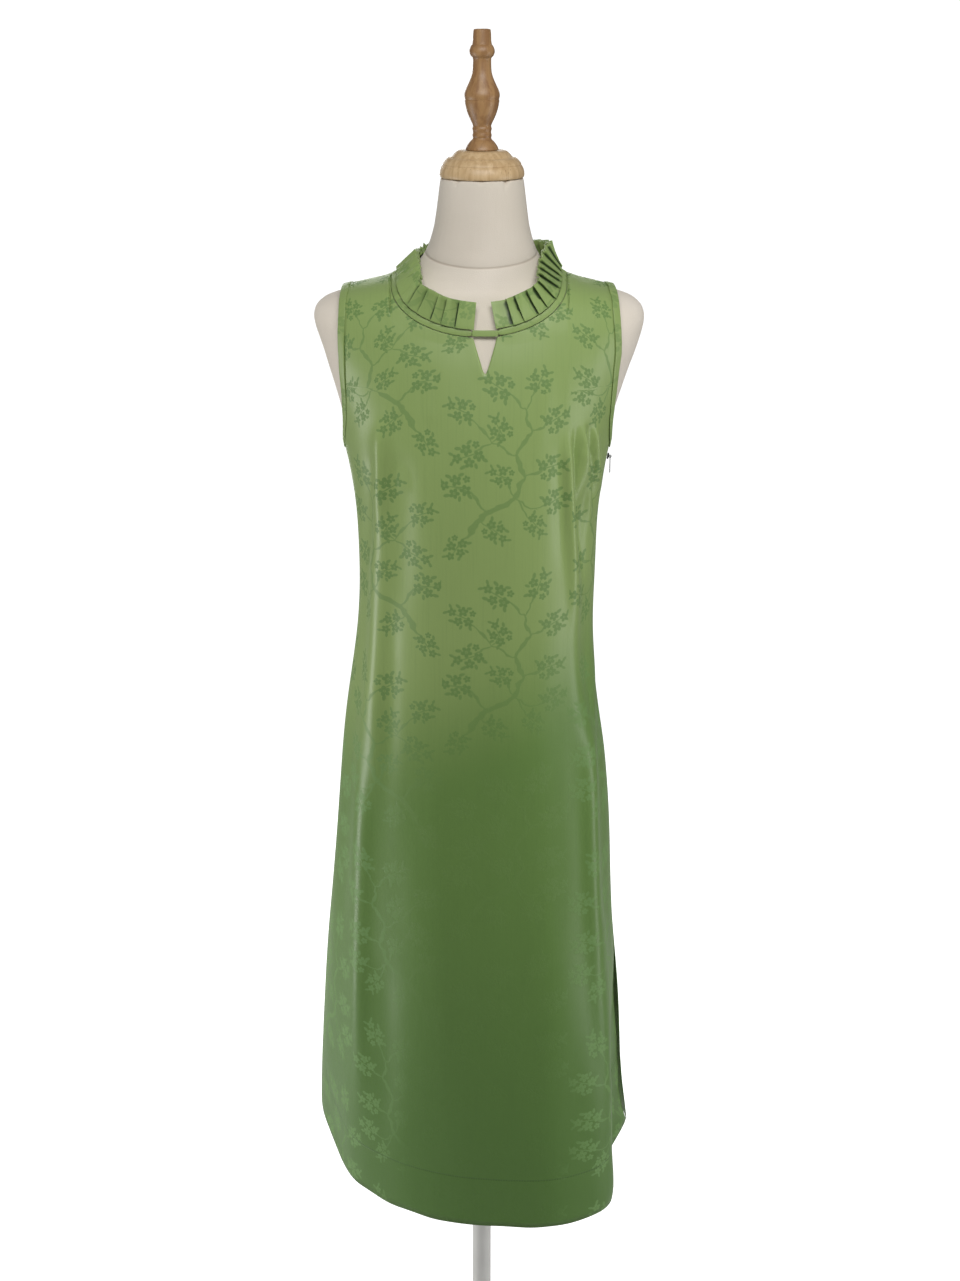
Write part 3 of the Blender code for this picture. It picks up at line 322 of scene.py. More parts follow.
def rounded_profile(rows):
    """Cuts the corners of a profile so that the turning is smooth between its shoulders."""
    cut = [rows[0]]
    for (z0, r0), (z1, r1) in zip(rows, rows[1:]):
        cut.append((z0 * 0.75 + z1 * 0.25, r0 * 0.75 + r1 * 0.25))
        cut.append((z0 * 0.25 + z1 * 0.75, r0 * 0.25 + r1 * 0.75))
    return cut + [rows[-1]]


FINIAL_BEADS = (
    # height, radius
    (0.131, 0.0), (0.131, 0.0085), (0.1295, 0.0100), (0.1150, 0.0104), (0.1125, 0.0128),
    (0.1074, 0.0146), (0.1024, 0.0133), (0.1003, 0.0108), (0.0985, 0.0102), (0.0855, 0.0105),
    (0.0785, 0.0126), (0.0716, 0.0158), (0.0647, 0.0192), (0.0600, 0.0203), (0.0565, 0.0196),
    (0.0550, 0.0190), (0.0545, 0.0197), (0.0486, 0.0189), (0.0405, 0.0167), (0.0336, 0.0136),
    (0.0268, 0.0102), (0.0250, 0.0106), (0.0232, 0.0112), (0.0197, 0.0101), (0.0162, 0.0112),
    (0.0125, 0.0101), (0.0094, 0.0138), (0.0047, 0.0173), (0.0008, 0.0189), (0.0, 0.0180), (0.0, 0.0),
)
CAP_STEPS = (
    (0.030, 0.0), (0.030, 0.0270), (0.0282, 0.0298), (0.0250, 0.0330), (0.0225, 0.0345),
    (0.0218, 0.0388), (0.0205, 0.0405), (0.0185, 0.0425), (0.0150, 0.0450), (0.0142, 0.0444),
    (0.0132, 0.0458), (0.0080, 0.0480), (0.0035, 0.0485), (0.0008, 0.0478), (0.0, 0.0465), (0.0, 0.0),
)
turned("finial", rounded_profile(FINIAL_BEADS), finial_low, 64, wood, "form_finial", slot="beech_wood")
turned("neck_cap", rounded_profile(CAP_STEPS), cap_low, 96, wood, "form_neck_cap", slot="beech_wood")

# The stand: a steel pole in a flat round foot, both in white powder enamel.
enamel, tree, shader = new_material("white_enamel", 0.32)
place = node(tree, "ShaderNodeTexCoord").outputs["Object"]
peel = node(tree, "ShaderNodeTexNoise", Vector=place, Scale=420.0, Detail=2.0).outputs["Fac"]
dust = node(tree, "ShaderNodeTexNoise", Vector=place, Scale=14.0, Detail=5.0).outputs["Fac"]
paint = mixed(tree, smooth_step(tree, dust, 0.4, 0.75), (0.80, 0.79, 0.76, 1), (0.73, 0.72, 0.69, 1))
tree.links.new(paint, shader.inputs["Base Color"])
bump(tree, shader, peel, 0.08, 0.0003)
FOOT = (
    (0.010, 0.0), (0.010, 0.01288), (0.045, 0.01288), (0.045, 0.0190), (0.0435, 0.0205),
    (0.018, 0.0210), (0.012, 0.0300), (0.0085, 0.1180), (0.0060, 0.1280), (0.0030, 0.1300),
    (0.0, 0.1285), (0.0, 0.0),
)
turned("stand_foot", FOOT, 0, 96, enamel, "stand_base", slot="white_enamel")
pole_low, pole_high = (corner.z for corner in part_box("stand_pole"))
POLE = (
    (pole_high, 0.0),
    (pole_high, 0.0117),
    (pole_high - 0.001, 0.0125),
    (pole_low, 0.0125),
    (pole_low, 0.0),
)
turned("stand_tube", POLE, 0, 48, enamel, "stand_pole", slot="white_enamel")

# The dress's cloth: a green jacquard, a glossy satin ground with plum branches woven matt.
# One woven repeat is turned over in every other column and dropped by half. It has thirteen
# sprigs of blossom and leaves, all from one small drawing, on a crooked branch.
REPEAT_WIDE, REPEAT_HIGH = 0.152, 0.242
MILLIMETRE = 0.001
PETAL_ANGLE = math.tau / 5
BRANCH_STROKES = (
    # from x, y to x, y and width, in millimetres
    (30, 30, 52, 58, 6.8), (50, 55, 84, 72, 6.4), (82, 70, 96, 98, 5.6), (95, 96, 86, 124, 4.8),
    (86, 122, 104, 150, 4.0), (103, 148, 96, 176, 3.2), (96, 175, 72, 196, 2.4),
    (96, 98, 122, 104, 2.4), (52, 58, 34, 82, 3.0), (35, 80, 16, 86, 2.0), (84, 72, 108, 58, 2.4),
    (107, 59, 132, 66, 1.9), (86, 123, 60, 138, 2.4), (61, 137, 38, 128, 1.8),
    (104, 150, 130, 158, 2.0), (97, 174, 112, 204, 1.9),
    (30, 32, 18, 14, 2.2), (60, 138, 30, 168, 1.9), (85, 72, 71, 98, 1.9), (44, 47, 60, 35, 2.0),
    (86, 71, 106, 45, 1.9), (61, 138, 68, 150, 1.7),
)
SPRIGS = (
    # x, y, turn in degrees, size
    (128, 106, 0, 0.95), (18, 88, 170, 1.0), (17, 15, 230, 0.85), (134, 66, 10, 0.95),
    (32, 124, 190, 1.0), (134, 160, 15, 0.95), (66, 200, 140, 1.0), (114, 208, 60, 0.95),
    (68, 152, 110, 0.85), (70, 100, 150, 0.8), (62, 34, -50, 0.85), (108, 40, -60, 0.8),
    (24, 174, 150, 0.9),
)
BLOSSOMS = (
    # x, y, turn in degrees, reach
    (-11, 3, 10, 6.8), (1, 9, 45, 6.4), (2, -6, 80, 7.0), (14, 2, 20, 6.0), (-10, -10, 5, 4.6),
)
LEAVES = (
    # x, y, turn in degrees, half length, half width
    (-17, 9, 140, 4.2, 2.3), (-6, 14, 95, 3.8, 2.1), (9, 13, 20, 4.4, 2.3), (11, -9, -10, 4.4, 2.3),
    (21, 7, 50, 4.0, 2.0), (20, -4, -35, 3.6, 1.9), (-3, -14, -150, 4.0, 2.1), (-1, 1, 8, 14.0, 0.8),
)


def nearest_of(group, place, spots):
    """The place as each spot sees it, from whichever spot is nearest."""
    best = None
    local = None
    for x, y, turn, size in spots:
        spot = node(
            group,
            "ShaderNodeMapping",
            Vector=place,
            Location=(x * MILLIMETRE, y * MILLIMETRE, 0),
            Rotation=(0, 0, math.radians(turn)),
            Scale=(size, size, 1),
        )
        spot.vector_type = "TEXTURE"
        far = vector_maths(group, "LENGTH", spot.outputs[0], output=1)
        if best is None:
            best, local = far, spot.outputs[0]
            continue
        nearer = maths(group, "LESS_THAN", far, best)
        best = maths(group, "MINIMUM", far, best)
        pick = group.nodes.new("ShaderNodeMix")
        pick.data_type = "VECTOR"
        group.links.new(nearer, pick.inputs[0])
        group.links.new(local, pick.inputs[4])
        group.links.new(spot.outputs[0], pick.inputs[5])
        local = pick.outputs[1]
    return local


def strokes(group, place, marks):
    """How near the place is to the nearest tapered stroke, 1 at a stroke's edge."""
    best = None
    for x, y, turn, long, wide in marks:
        mark = node(
            group,
            "ShaderNodeMapping",
            Vector=place,
            Location=(x * MILLIMETRE, y * MILLIMETRE, 0),
            Rotation=(0, 0, math.radians(turn)),
            Scale=(long * MILLIMETRE, wide * MILLIMETRE, 1),
        )
        mark.vector_type = "TEXTURE"
        far = vector_maths(group, "LENGTH", mark.outputs[0], output=1)
        best = far if best is None else maths(group, "MINIMUM", best, far)
    return best


def drawn_inside(group, distance, low=0.8, high=1.0):
    """1 inside a drawn edge and 0 outside, soft between."""
    return maths(group, "SUBTRACT", 1.0, smooth_step(group, distance, low, high))


def woven_group():
    """The woven motif's mask from the cloth's own map: 1 on blossoms and leaves, less on wood."""
    group = bpy.data.node_groups.new("plum_branch_weave", "ShaderNodeTree")
    group.interface.new_socket("Cloth", in_out="INPUT", socket_type="NodeSocketVector")
    group.interface.new_socket("Motif", in_out="OUTPUT", socket_type="NodeSocketFloat")
    inlet = group.nodes.new("NodeGroupInput")
    outlet = group.nodes.new("NodeGroupOutput")
    split = node(group, "ShaderNodeSeparateXYZ", Vector=inlet.outputs[0])
    column = maths(group, "DIVIDE", split.outputs[0], REPEAT_WIDE)
    odd = maths(group, "MODULO", maths(group, "ABSOLUTE", maths(group, "FLOOR", column)), 2.0)
    part = maths(group, "FRACT", column)
    across = maths(group, "ABSOLUTE", maths(group, "SUBTRACT", odd, part))
    across = maths(group, "MULTIPLY", across, REPEAT_WIDE)
    row = maths(group, "DIVIDE", split.outputs[1], REPEAT_HIGH)
    along = maths(group, "FRACT", maths(group, "MULTIPLY_ADD", odd, 0.5, row))
    along = maths(group, "MULTIPLY", along, REPEAT_HIGH)
    local = node(group, "ShaderNodeCombineXYZ", X=across, Y=along).outputs[0]
    wobble = node(group, "ShaderNodeTexNoise", Vector=local, Scale=75.0, Detail=1.0)
    wobble.noise_dimensions = "2D"
    shift = vector_maths(group, "SUBTRACT", wobble.outputs["Color"], (0.5, 0.5, 0.5))
    shift = vector_maths(group, "MULTIPLY", shift, (0.008, 0.008, 0))
    bent = vector_maths(group, "ADD", local, shift)
    wood_marks = []
    for x0, y0, x1, y1, width in BRANCH_STROKES:
        long = math.hypot(x1 - x0, y1 - y0)
        turn = math.degrees(math.atan2(y1 - y0, x1 - x0))
        wood_marks.append(((x0 + x1) / 2, (y0 + y1) / 2, turn, long * 0.62, width * 0.62))
    branch = drawn_inside(group, strokes(group, bent, wood_marks))
    sprig = nearest_of(group, local, SPRIGS)
    leaves = drawn_inside(group, strokes(group, sprig, LEAVES))
    spots = [(x, y, turn, reach * MILLIMETRE) for x, y, turn, reach in BLOSSOMS]
    bloom = nearest_of(group, sprig, spots)
    spoke = node(group, "ShaderNodeSeparateXYZ", Vector=bloom)
    reach = vector_maths(group, "LENGTH", bloom, output=1)
    turn = maths(group, "ARCTAN2", spoke.outputs[1], spoke.outputs[0])
    turn = maths(group, "WRAP", turn, PETAL_ANGLE / 2, -PETAL_ANGLE / 2)
    down = maths(group, "MULTIPLY", reach, maths(group, "COSINE", turn))
    down = maths(group, "MULTIPLY_ADD", down, 2.3, -1.36)
    side = maths(group, "MULTIPLY", reach, maths(group, "SINE", turn))
    side = maths(group, "MULTIPLY", side, 2.75)
    down = maths(group, "MULTIPLY", down, down)
    side = maths(group, "MULTIPLY", side, side)
    petal = drawn_inside(group, maths(group, "ADD", down, side), 0.75)
    heart = drawn_inside(group, reach, 0.1, 0.16)
    blossom = maths(group, "MAXIMUM", petal, heart)
    drawn = maths(group, "MAXIMUM", blossom, maths(group, "MULTIPLY", leaves, 0.85))
    motif = maths(group, "MAXIMUM", drawn, maths(group, "MULTIPLY", branch, 0.7))
    group.links.new(motif, outlet.inputs[0])
    return group


plum_weave = woven_group()
HEM_DEPTH = 0.067


def satin(name, contrast=1.0, hem_on=False, folded=False, ply=0.0):
    """Jacquard satin: threads across the gloss, the motif matt and deeper, the hem stitched.

    The ground is painted lighter above the hips and on the left, a painted highlight where the
    cloth catches the light, and painted darker towards the hem as painted shade. The motif is
    painted paler at the sides as painted sheen. With folded, the folds get painted shade.
    """
    material, tree, shader = new_material(name, 0.4)
    cloth = node(tree, "ShaderNodeUVMap")
    cloth.uv_map = "cloth"
    cloth = cloth.outputs[0]
    place = node(tree, "ShaderNodeTexCoord").outputs["Object"]
    split = node(tree, "ShaderNodeSeparateXYZ", Vector=place).outputs
    # Painted light: lit paints the ground lighter above the hips and on the left, and shaded paints it
    # darker towards the hem, standing in for the lamps' light and shade.
    drift = node(tree, "ShaderNodeTexNoise", Vector=place, Scale=4.5, Detail=2.0).outputs["Fac"]
    level = maths(tree, "MULTIPLY_ADD", drift, 0.10, split[2])
    level = maths(tree, "MULTIPLY_ADD", split[0], -0.45, level)
    lit = smooth_step(tree, level, 0.97, 1.20)
    # Painted sheen: side makes the matt motif paler towards the sides.
    side = smooth_step(tree, maths(tree, "ABSOLUTE", split[0]), 0.085, 0.15)
    lower = smooth_step(tree, split[2], 0.35, 0.95)
    shaded = mixed(tree, lower, (0.092, 0.190, 0.037, 1), (0.131, 0.238, 0.055, 1))
    ground = mixed(tree, lit, shaded, (0.262, 0.366, 0.118, 1))
    streaks = node(tree, "ShaderNodeMapping", Vector=cloth, Scale=(1, 0.03, 1))
    slubs = node(tree, "ShaderNodeTexNoise", Vector=streaks.outputs[0], Scale=420.0, Detail=2.0)
    slub = maths(tree, "MULTIPLY", smooth_step(tree, slubs.outputs["Fac"], 0.45, 0.8), 0.08)
    ground = mixed(tree, slub, ground, (0.05, 0.11, 0.03, 1))
    thread_scale = node(tree, "ShaderNodeMapping", Vector=cloth, Scale=(1, 0.12, 1))
    threads = node(tree, "ShaderNodeTexNoise", Vector=thread_scale.outputs[0], Scale=2600.0, Detail=1.0)
    rough = maths(tree, "MULTIPLY_ADD", threads.outputs["Fac"], 0.10, 0.34 + ply)
    weave = tree.nodes.new("ShaderNodeGroup")
    weave.node_tree = plum_weave
    tree.links.new(cloth, weave.inputs[0])
    motif = weave.outputs[0]
    # The motif's colour is painted too: the ground's painted shade in the middle, a painted sheen paler
    # at the sides, and a darker copy where the ground has painted light.
    painted_shading = mixed(tree, side, shaded, (0.152, 0.285, 0.082, 1))
    matt = mixed(tree, lit, painted_shading, (0.150, 0.255, 0.072, 1))
    ground = mixed(tree, maths(tree, "MULTIPLY", motif, contrast), ground, matt)
    rough = maths(tree, "MULTIPLY_ADD", motif, 0.16, rough)
    relief = maths(tree, "MULTIPLY", threads.outputs["Fac"], 0.3)
    relief = maths(tree, "MULTIPLY_ADD", motif, 0.5, relief)
    if hem_on:
        edge = node(tree, "ShaderNodeAttribute")
        edge.attribute_name = "hem"
        line = maths(tree, "ABSOLUTE", maths(tree, "SUBTRACT", edge.outputs["Fac"], HEM_DEPTH))
        groove = drawn_inside(tree, line, 0.0003, 0.0016)
        along = node(tree, "ShaderNodeSeparateXYZ", Vector=cloth).outputs[0]
        pitch = maths(tree, "PINGPONG", maths(tree, "DIVIDE", along, 0.0032), 0.5)
        stitches = maths(tree, "MULTIPLY", groove, smooth_step(tree, pitch, 0.08, 0.2))
        relief = maths(tree, "MULTIPLY_ADD", groove, -2.2, relief)
        ground = mixed(tree, maths(tree, "MULTIPLY", stitches, 0.4), ground, (0.035, 0.085, 0.02, 1))
    # Painted shade: the collar's baked shade attribute darkens the colour in the pleats' folds.
    if folded:
        depth = node(tree, "ShaderNodeAttribute")
        depth.attribute_name = "shade"
        painted_shading = smooth_step(tree, depth.outputs["Fac"], 0.10, 0.52)
        ground = mixed(tree, maths(tree, "MULTIPLY", painted_shading, 0.95), ground, (0.020, 0.042, 0.012, 1))
    tree.links.new(ground, shader.inputs["Base Color"])
    tree.links.new(rough, shader.inputs["Roughness"])
    shader.inputs["Specular IOR Level"].default_value = 0.44
    shader.inputs["Sheen Weight"].default_value = 0.12
    shader.inputs["Sheen Roughness"].default_value = 0.35
    shader.inputs["Sheen Tint"].default_value = (0.70, 0.92, 0.50, 1)
    bump(tree, shader, relief, 0.3, 0.0004)
    return material


panel_satin = satin("green_jacquard_satin", hem_on=True)
trim_satin = satin("green_satin_trim", contrast=0.5, ply=0.05)
pleated_satin = satin("green_satin_pleats", contrast=0.6, folded=True, ply=0.05)

# The front and back panels, each one length of cloth from shoulder to hem with slits at the
# sides. Each is a single thin shell laid on its solid, with the listed folds pressed in.
PANEL_CREASES = (
    # face, top x, top z, low x, low z, height, width: soft ridges above 0 and troughs below
    ("front", -0.112, 1.375, -0.120, 1.20, 0.0056, 0.011),
    ("front", -0.094, 1.350, -0.100, 1.10, -0.0034, 0.021),
    ("front", -0.130, 1.340, -0.138, 1.16, -0.0046, 0.009),
    ("front", -0.122, 1.260, -0.134, 0.86, 0.0036, 0.014),
    ("front", -0.108, 1.160, -0.116, 0.88, -0.0020, 0.014),
    ("front", -0.142, 0.960, -0.166, 0.38, 0.0050, 0.013),
    ("front", -0.120, 0.700, -0.128, 0.38, -0.0026, 0.022),
    ("front", 0.0985, 1.362, 0.111, 1.100, 0.0058, 0.0080),
    ("front", 0.1070, 1.366, 0.121, 1.150, -0.0072, 0.0055),
    ("front", 0.1150, 1.366, 0.129, 1.215, 0.0064, 0.0050),
    ("front", 0.1225, 1.364, 0.133, 1.240, -0.0064, 0.0048),
    ("front", 0.1300, 1.358, 0.139, 1.260, 0.0048, 0.0050),
    ("front", 0.0880, 1.345, 0.094, 1.170, -0.0022, 0.0100),
    ("front", 0.1250, 1.140, 0.158, 0.40, 0.0046, 0.011),
    ("front", 0.1400, 1.060, 0.162, 0.60, -0.0034, 0.009),
    ("front", 0.1500, 0.760, 0.160, 0.46, 0.0026, 0.012),
    ("front", 0.0720, 1.430, 0.058, 1.300, 0.0012, 0.012),
    ("front", -0.0640, 1.440, -0.050, 1.310, -0.0012, 0.014),
    ("front", -0.030, 1.020, -0.070, 0.50, 0.0018, 0.045),
    ("front", 0.055, 0.980, 0.070, 0.44, -0.0020, 0.045),
    ("back", -0.070, 1.330, -0.030, 1.06, -0.0035, 0.020),
    ("back", 0.075, 1.340, 0.035, 1.04, -0.0035, 0.018),
    ("back", -0.112, 1.365, -0.104, 1.17, 0.0032, 0.009),
    ("back", 0.108, 1.360, 0.100, 1.20, 0.0030, 0.008),
    ("back", -0.110, 1.250, -0.130, 0.62, 0.0040, 0.018),
    ("back", 0.100, 1.220, 0.120, 0.58, 0.0035, 0.018),
    ("back", 0.000, 1.160, 0.008, 0.84, -0.0026, 0.026),
    ("back", -0.045, 0.980, -0.080, 0.38, -0.0040, 0.024),
    ("back", 0.040, 0.940, 0.060, 0.38, 0.0040, 0.024),
    ("back", 0.110, 0.800, 0.150, 0.38, -0.0035, 0.020),
)
BODY_MIDDLE_X = -0.0035
THICKEST_WALL = 0.0025


def largest_island(bm):
    """Deletes every loose patch of faces but the largest."""
    islands = []
    left = set(bm.faces)
    while left:
        queue = [left.pop()]
        island = set(queue)
        while queue:
            for edge in queue.pop().edges:
                for other in edge.link_faces:
                    if other in left:
                        left.discard(other)
                        island.add(other)
                        queue.append(other)
        islands.append(island)
    islands.sort(key=len)
    for island in islands[:-1]:
        bmesh.ops.delete(bm, geom=list(island), context="FACES")


def squared_up(bm, flatness):
    """Joins the solid's triangles into four-sided faces where they lie flat enough."""
    bmesh.ops.join_triangles(
        bm,
        faces=bm.faces,
        angle_face_threshold=flatness,
        angle_shape_threshold=3.1,
        cmp_seam=False,
    )


def outer_skin(node_name):
    """Keeps only the outside face of a panel's solid: no rim and no inner face."""
    bm = merged_copy(node_name)
    bmesh.ops.recalc_face_normals(bm, faces=bm.faces)
    tree = BVHTree.FromBMesh(bm)
    doomed = []
    for face in bm.faces:
        centre = face.calc_center_median()
        behind = tree.ray_cast(centre - face.normal * 0.0002, -face.normal, THICKEST_WALL)[0]
        skirt_back = 0.055 * max(0, 1 - (centre.z - 0.33) / 0.6) ** 1.3
        outward = centre - Vector((BODY_MIDDLE_X, skirt_back, centre.z - 0.05))
        if behind is None or face.normal.dot(outward) < 0:
            doomed.append(face)
    bmesh.ops.delete(bm, geom=doomed, context="FACES")
    largest_island(bm)
    squared_up(bm, 1.2)
    return bm


def crease_push(face, x, z):
    """How far all the folds of a panel lift the cloth at a place, fading in and out along them."""
    push = 0.0
    for side, top_x, top_z, low_x, low_z, height, width in PANEL_CREASES:
        down = (top_z - z) / (top_z - low_z)
        if side != face or not 0 < down < 1:
            continue
        middle = top_x + (low_x - top_x) * down + 0.2 * width * math.sin(9 * z + 900 * height)
        across = abs(x - middle) / width
        if across < 2.5:
            fade = min(1, down * 5) * min(1, (1 - down) * 2.2)
            push += height * fade * fade * (3 - 2 * fade) * math.exp(-across * across * 1.6)
    return push


SLIT_TOP = 0.67


def slit_flare(face, x, z):
    """How far the front's edge swings out over the right slit, almost closing it to the eye."""
    if face == "back" or x < 0.1 or z > SLIT_TOP:
        return 0.0
    beside = min((x - 0.1) / 0.05, 1)
    down = min((SLIT_TOP - z) / 0.17, 1)
    corner = 0.004 * min(max((0.45 - z) / 0.06, 0), 1)
    return (0.0095 * down**1.4 - corner) * beside * beside * (3 - 2 * beside)


def edge_tree(points):
    """The points of a panel's edge, for finding how far a place is from it."""
    tree = KDTree(len(points))
    for i, place in enumerate(points):
        tree.insert(place, i)
    tree.balance()
    return tree


BAND = 0.04
ARC_STEPS = 10
LEAST_ROOM = 0.0022
form_skin = BVHTree.FromBMesh(merged_copy("form_torso"))


def body_sections(bm):
    """The panel's half width and depth in each band of height."""
    sections = {}
    for vert in bm.verts:
        band = math.floor(vert.co.z / BAND)
        half_width, depth = sections.get(band, (0.001, 0.001))
        sections[band] = (max(half_width, abs(vert.co.x)), max(depth, abs(vert.co.y)))
    return sections


def section_at(sections, z):
    """The panel's half width and depth at a height, between its measured bands."""
    band = math.floor(z / BAND - 0.5)
    part = z / BAND - 0.5 - band
    low = sections.get(band, sections.get(band + 1))
    high = sections.get(band + 1, low)
    return [a + (b - a) * part for a, b in zip(low, high)]


def room_over_form(place):
    """The form's own direction outwards at its point nearest to a place, and the room there."""
    spot, facing, _, _ = form_skin.find_nearest(place)
    return facing, (place - spot).dot(facing)


def arc_across(x, outwards, z, half_width, depth):
    """Length of cloth from the middle of a panel round its section to a place on it."""
    by_width = math.asin(max(-1, min(1, x / half_width)))
    round_body = math.atan2(x / half_width, outwards / depth)
    low = min(max((1.34 - z) / 0.1, 0), 1)
    turn = by_width + (round_body - by_width) * low
    length = 0.0
    for i in range(ARC_STEPS):
        at = turn * (i + 0.5) / ARC_STEPS
        length += math.hypot(half_width * math.cos(at), depth * math.sin(at)) * turn / ARC_STEPS
    return length


def lay_cloth(bm, face):
    """Presses the creases in and gives each point its place on the flat cloth."""
    edge_places = [vert.co.copy() for vert in bm.verts if vert.is_boundary]
    hem = edge_tree([place for place in edge_places if place.z < 0.41])
    rim = edge_tree(edge_places)
    sections = body_sections(bm)
    bm.normal_update()
    hem_layer = bm.verts.layers.float.new("hem")
    moves = []
    for vert in bm.verts:
        x, y, z = vert.co
        near_rim = rim.find(vert.co)[2]
        slack = min(near_rim / 0.012, 1)
        lower = min(max((1.2 - z) / 0.5, 0), 1)
        ripple = noise.noise(Vector((x * 16, y * 10, z * 3.2))) * (0.0009 + 0.0018 * lower)
        ripple += noise.noise(Vector((x * 45 + 9, y * 30, z * 9))) * 0.0004
        near_hem = hem.find(vert.co)[2]
        vert[hem_layer] = near_hem
        turned_up = 0.0007 * math.exp(-(((near_hem - HEM_DEPTH) / 0.004) ** 2))
        under_trim = 0.0003 * max(0, 1 - near_rim / 0.014) if z > 1.31 else 0
        push = (crease_push(face, x, z) + ripple) * slack + under_trim - turned_up
        uneven = noise.noise(Vector((x * 24, y * 24, 4))) * 0.0022 * max(0, 1 - near_hem / 0.06)
        moves.append((vert, push, Vector((slit_flare(face, x, z), 0, uneven))))
    flat = bm.loops.layers.uv.new("cloth")
    start = 0.047 if face == "front" else 0.121
    for part in bm.faces:
        for loop in part.loops:
            x, y, z = loop.vert.co
            across = arc_across(x, -y if face == "front" else y, z, *section_at(sections, z))
            over_shoulder = max(0.112 - abs(y), 0) if z > 1.40 else 0
            loop[flat].uv = (across + start, z + over_shoulder)
    for vert, push, swing in moves:
        _, room_before = room_over_form(vert.co)
        vert.co += vert.normal * push + swing
        facing, room = room_over_form(vert.co)
        short = min(room_before, LEAST_ROOM) - room
        if short > 0 and room_before < 0.03:
            vert.co += facing * short


FINER_ABOVE = 1.08
CLOTH_WALL = 0.0010


def make_panel(name, node_name, face):
    """One panel: the skin of its solid, finer at the chest, with its folds and its wall."""
    bm = smoothed(outer_skin(node_name), 2)
    high = [part for part in bm.faces if part.calc_center_median().z > FINER_ABOVE]
    upper = {edge for part in high for edge in part.edges}
    bmesh.ops.subdivide_edges(bm, edges=list(upper), cuts=1, use_grid_fill=True, smooth=0.0)
    bmesh.ops.recalc_face_normals(bm, faces=bm.faces)
    outwards = sum(part.normal.y * part.calc_area() for part in bm.faces)
    if (outwards < 0) != (face == "front"):
        bmesh.ops.reverse_faces(bm, faces=bm.faces)
    lay_cloth(bm, face)
    piece = add_piece(name, bm, panel_satin, "dressed_form", node_name, slot="green_satin")
    wall = piece.modifiers.new("cloth_wall", "SOLIDIFY")
    wall.thickness = CLOTH_WALL
    wall.offset = -1
    wall.use_rim = True


make_panel("front_panel", "dress_front", "front")
make_panel("back_panel", "dress_back", "back")


# The trims: bias strips of the same satin, folded round and topstitched at the neck, the
# armholes and the small bar that joins the neck's two ends over the keyhole.
MEAN_RADIUS = 0.1


def map_round(bm, raised=0.0):
    """Lays a trim's cloth map round the body, at its true size."""
    flat_map = bm.loops.layers.uv.new("cloth")
    for part in bm.faces:
        for loop in part.loops:
            x, y, z = loop.vert.co
            loop[flat_map].uv = (math.atan2(y, x) * MEAN_RADIUS, z + raised)


def rounded_trim(name, node_name):
    """A trim with its edges rounded and its surface slightly uneven, as turned cloth is."""
    bm = merged_copy(node_name)
    squared_up(bm, 0.9)
    bm = smoothed(bm, 2)
    bm.normal_update()
    map_round(bm)
    for vert in bm.verts:
        vert.co += vert.normal * (0.00012 + noise.noise(vert.co * 120) * 0.0002)
    piece = add_piece(name, bm, trim_satin, "dressed_form", node_name, slot="green_satin")


rounded_trim("neck_binding", "neck_band")
rounded_trim("left_armhole_binding", "armhole_binding_left")
rounded_trim("right_armhole_binding", "armhole_binding_right")
rounded_trim("keyhole_bar", "front_bar")

# The stand-up collar: one strip in knife pleats, all turned the same way round the neck, its
# lower edge caught in the neck binding and its upper edge free, so the pleats open at the top.
PLEAT_OPENING = 0.9
RULING_LENGTH = 0.022
RULING_CUTS = 6
FLAT_BETWEEN_FOLDS = 0.0048
NECK_MIDDLE = Vector((BODY_MIDDLE_X, -0.008, 0))
TURN_STEP = 0.12
bm = merged_copy("collar_ruffle")
squared_up(bm, 0.9)
lift = bm.verts.layers.float.new("lift")
rulings = [edge for edge in bm.edges if edge.calc_length() > RULING_LENGTH]
for edge in rulings:
    max(edge.verts, key=lambda vert: vert.co.z)[lift] = 1
bmesh.ops.subdivide_edges(bm, edges=rulings, cuts=RULING_CUTS, use_grid_fill=True)
wide = [edge for edge in bm.edges if edge.calc_length() > FLAT_BETWEEN_FOLDS]
bmesh.ops.subdivide_edges(bm, edges=wide, cuts=2, use_grid_fill=True)


def neck_place(vert):
    """The way out from the neck's middle, its angle, and how far out the vertex is."""
    way = (vert.co - NECK_MIDDLE) * Vector((1, 1, 0))
    return way.normalized(), math.atan2(way.x, way.y), way.length


def level_of(vert):
    return round(vert[lift] * (RULING_CUTS + 1))


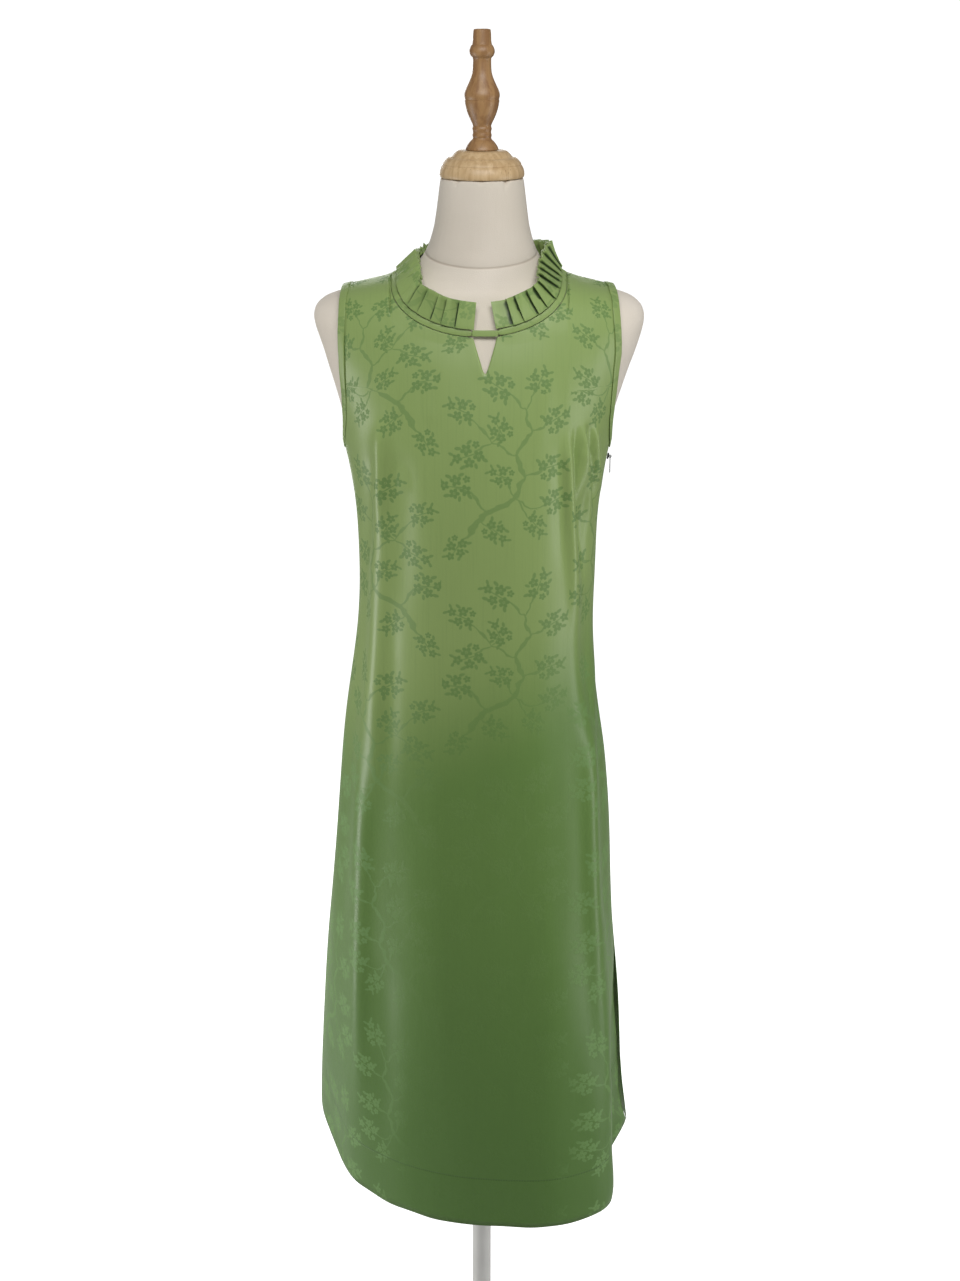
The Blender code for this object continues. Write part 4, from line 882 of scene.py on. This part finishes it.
rims = {}
for vert in bm.verts:
    _, turn, reach = neck_place(vert)
    rims.setdefault((level_of(vert), round(turn / TURN_STEP)), []).append(reach)
for vert in bm.verts:
    way, turn, reach = neck_place(vert)
    level, step = level_of(vert), turn / TURN_STEP
    near = [rims.get((level, math.floor(step) + i), [reach]) for i in (-1, 0, 1, 2)]
    usual = sum(sum(row) for row in near) / sum(len(row) for row in near)
    opened = PLEAT_OPENING * vert[lift] ** 1.5
    vert.co += way * max(-0.0012, min(0.0035, (reach - usual) * opened))
    vert.co += way * noise.noise(vert.co * 70) * 0.0011 * vert[lift]
    vert.co.z += noise.noise(Vector((turn * 4, 3, 1))) * 0.0012 * vert[lift]
bm.normal_update()
# Painted shade: each vertex's share of short rays that meet the pleats is baked as the shade attribute,
# which darkens the pleats' colour in their folds.
folds = BVHTree.FromBMesh(bm)
shade = bm.verts.layers.float.new("shade")
SHADE_WAYS = 40
SHADE_REACH = 0.012
spread = []
for _ in range(SHADE_WAYS):
    way = Vector((random.gauss(0, 1), random.gauss(0, 1), random.gauss(0, 1)))
    spread.append(way.normalized())
for vert in bm.verts:
    open_ways = [way if way.dot(vert.normal) > 0 else -way for way in spread]
    start = vert.co + vert.normal * 0.0004
    met = [folds.ray_cast(start, way, SHADE_REACH)[3] for way in open_ways]
    vert[shade] = sum(1 - far / SHADE_REACH for far in met if far is not None) / SHADE_WAYS
map_round(bm, raised=0.02)
collar = add_piece(
    "pleated_collar", bm, pleated_satin, "dressed_form", "collar_ruffle", slot="green_satin"
)
softened = collar.modifiers.new("soft_folds", "BEVEL")
softened.width = 0.00025
softened.segments = 2
softened.limit_method = "ANGLE"
softened.angle_limit = math.radians(50)

# The zip: a small slider on the side seam under the arm and its hanging pull tab, both in
# dark lacquered metal.
zip_metal, tree, shader = new_material("dark_zip_metal", 0.35)
place = node(tree, "ShaderNodeTexCoord").outputs["Object"]
wear = node(tree, "ShaderNodeTexNoise", Vector=place, Scale=700.0, Detail=3.0).outputs["Fac"]
worn = smooth_step(tree, wear, 0.5, 0.75)
lacquer = mixed(tree, worn, (0.035, 0.05, 0.035, 1), (0.14, 0.15, 0.13, 1))
tree.links.new(lacquer, shader.inputs["Base Color"])
shader.inputs["Metallic"].default_value = 0.7
bump(tree, shader, wear, 0.1, 0.0002)
for name in ("zip_slider", "zip_pull"):
    for slot in nodes[name].material_slots:
        slot.material = zip_metal
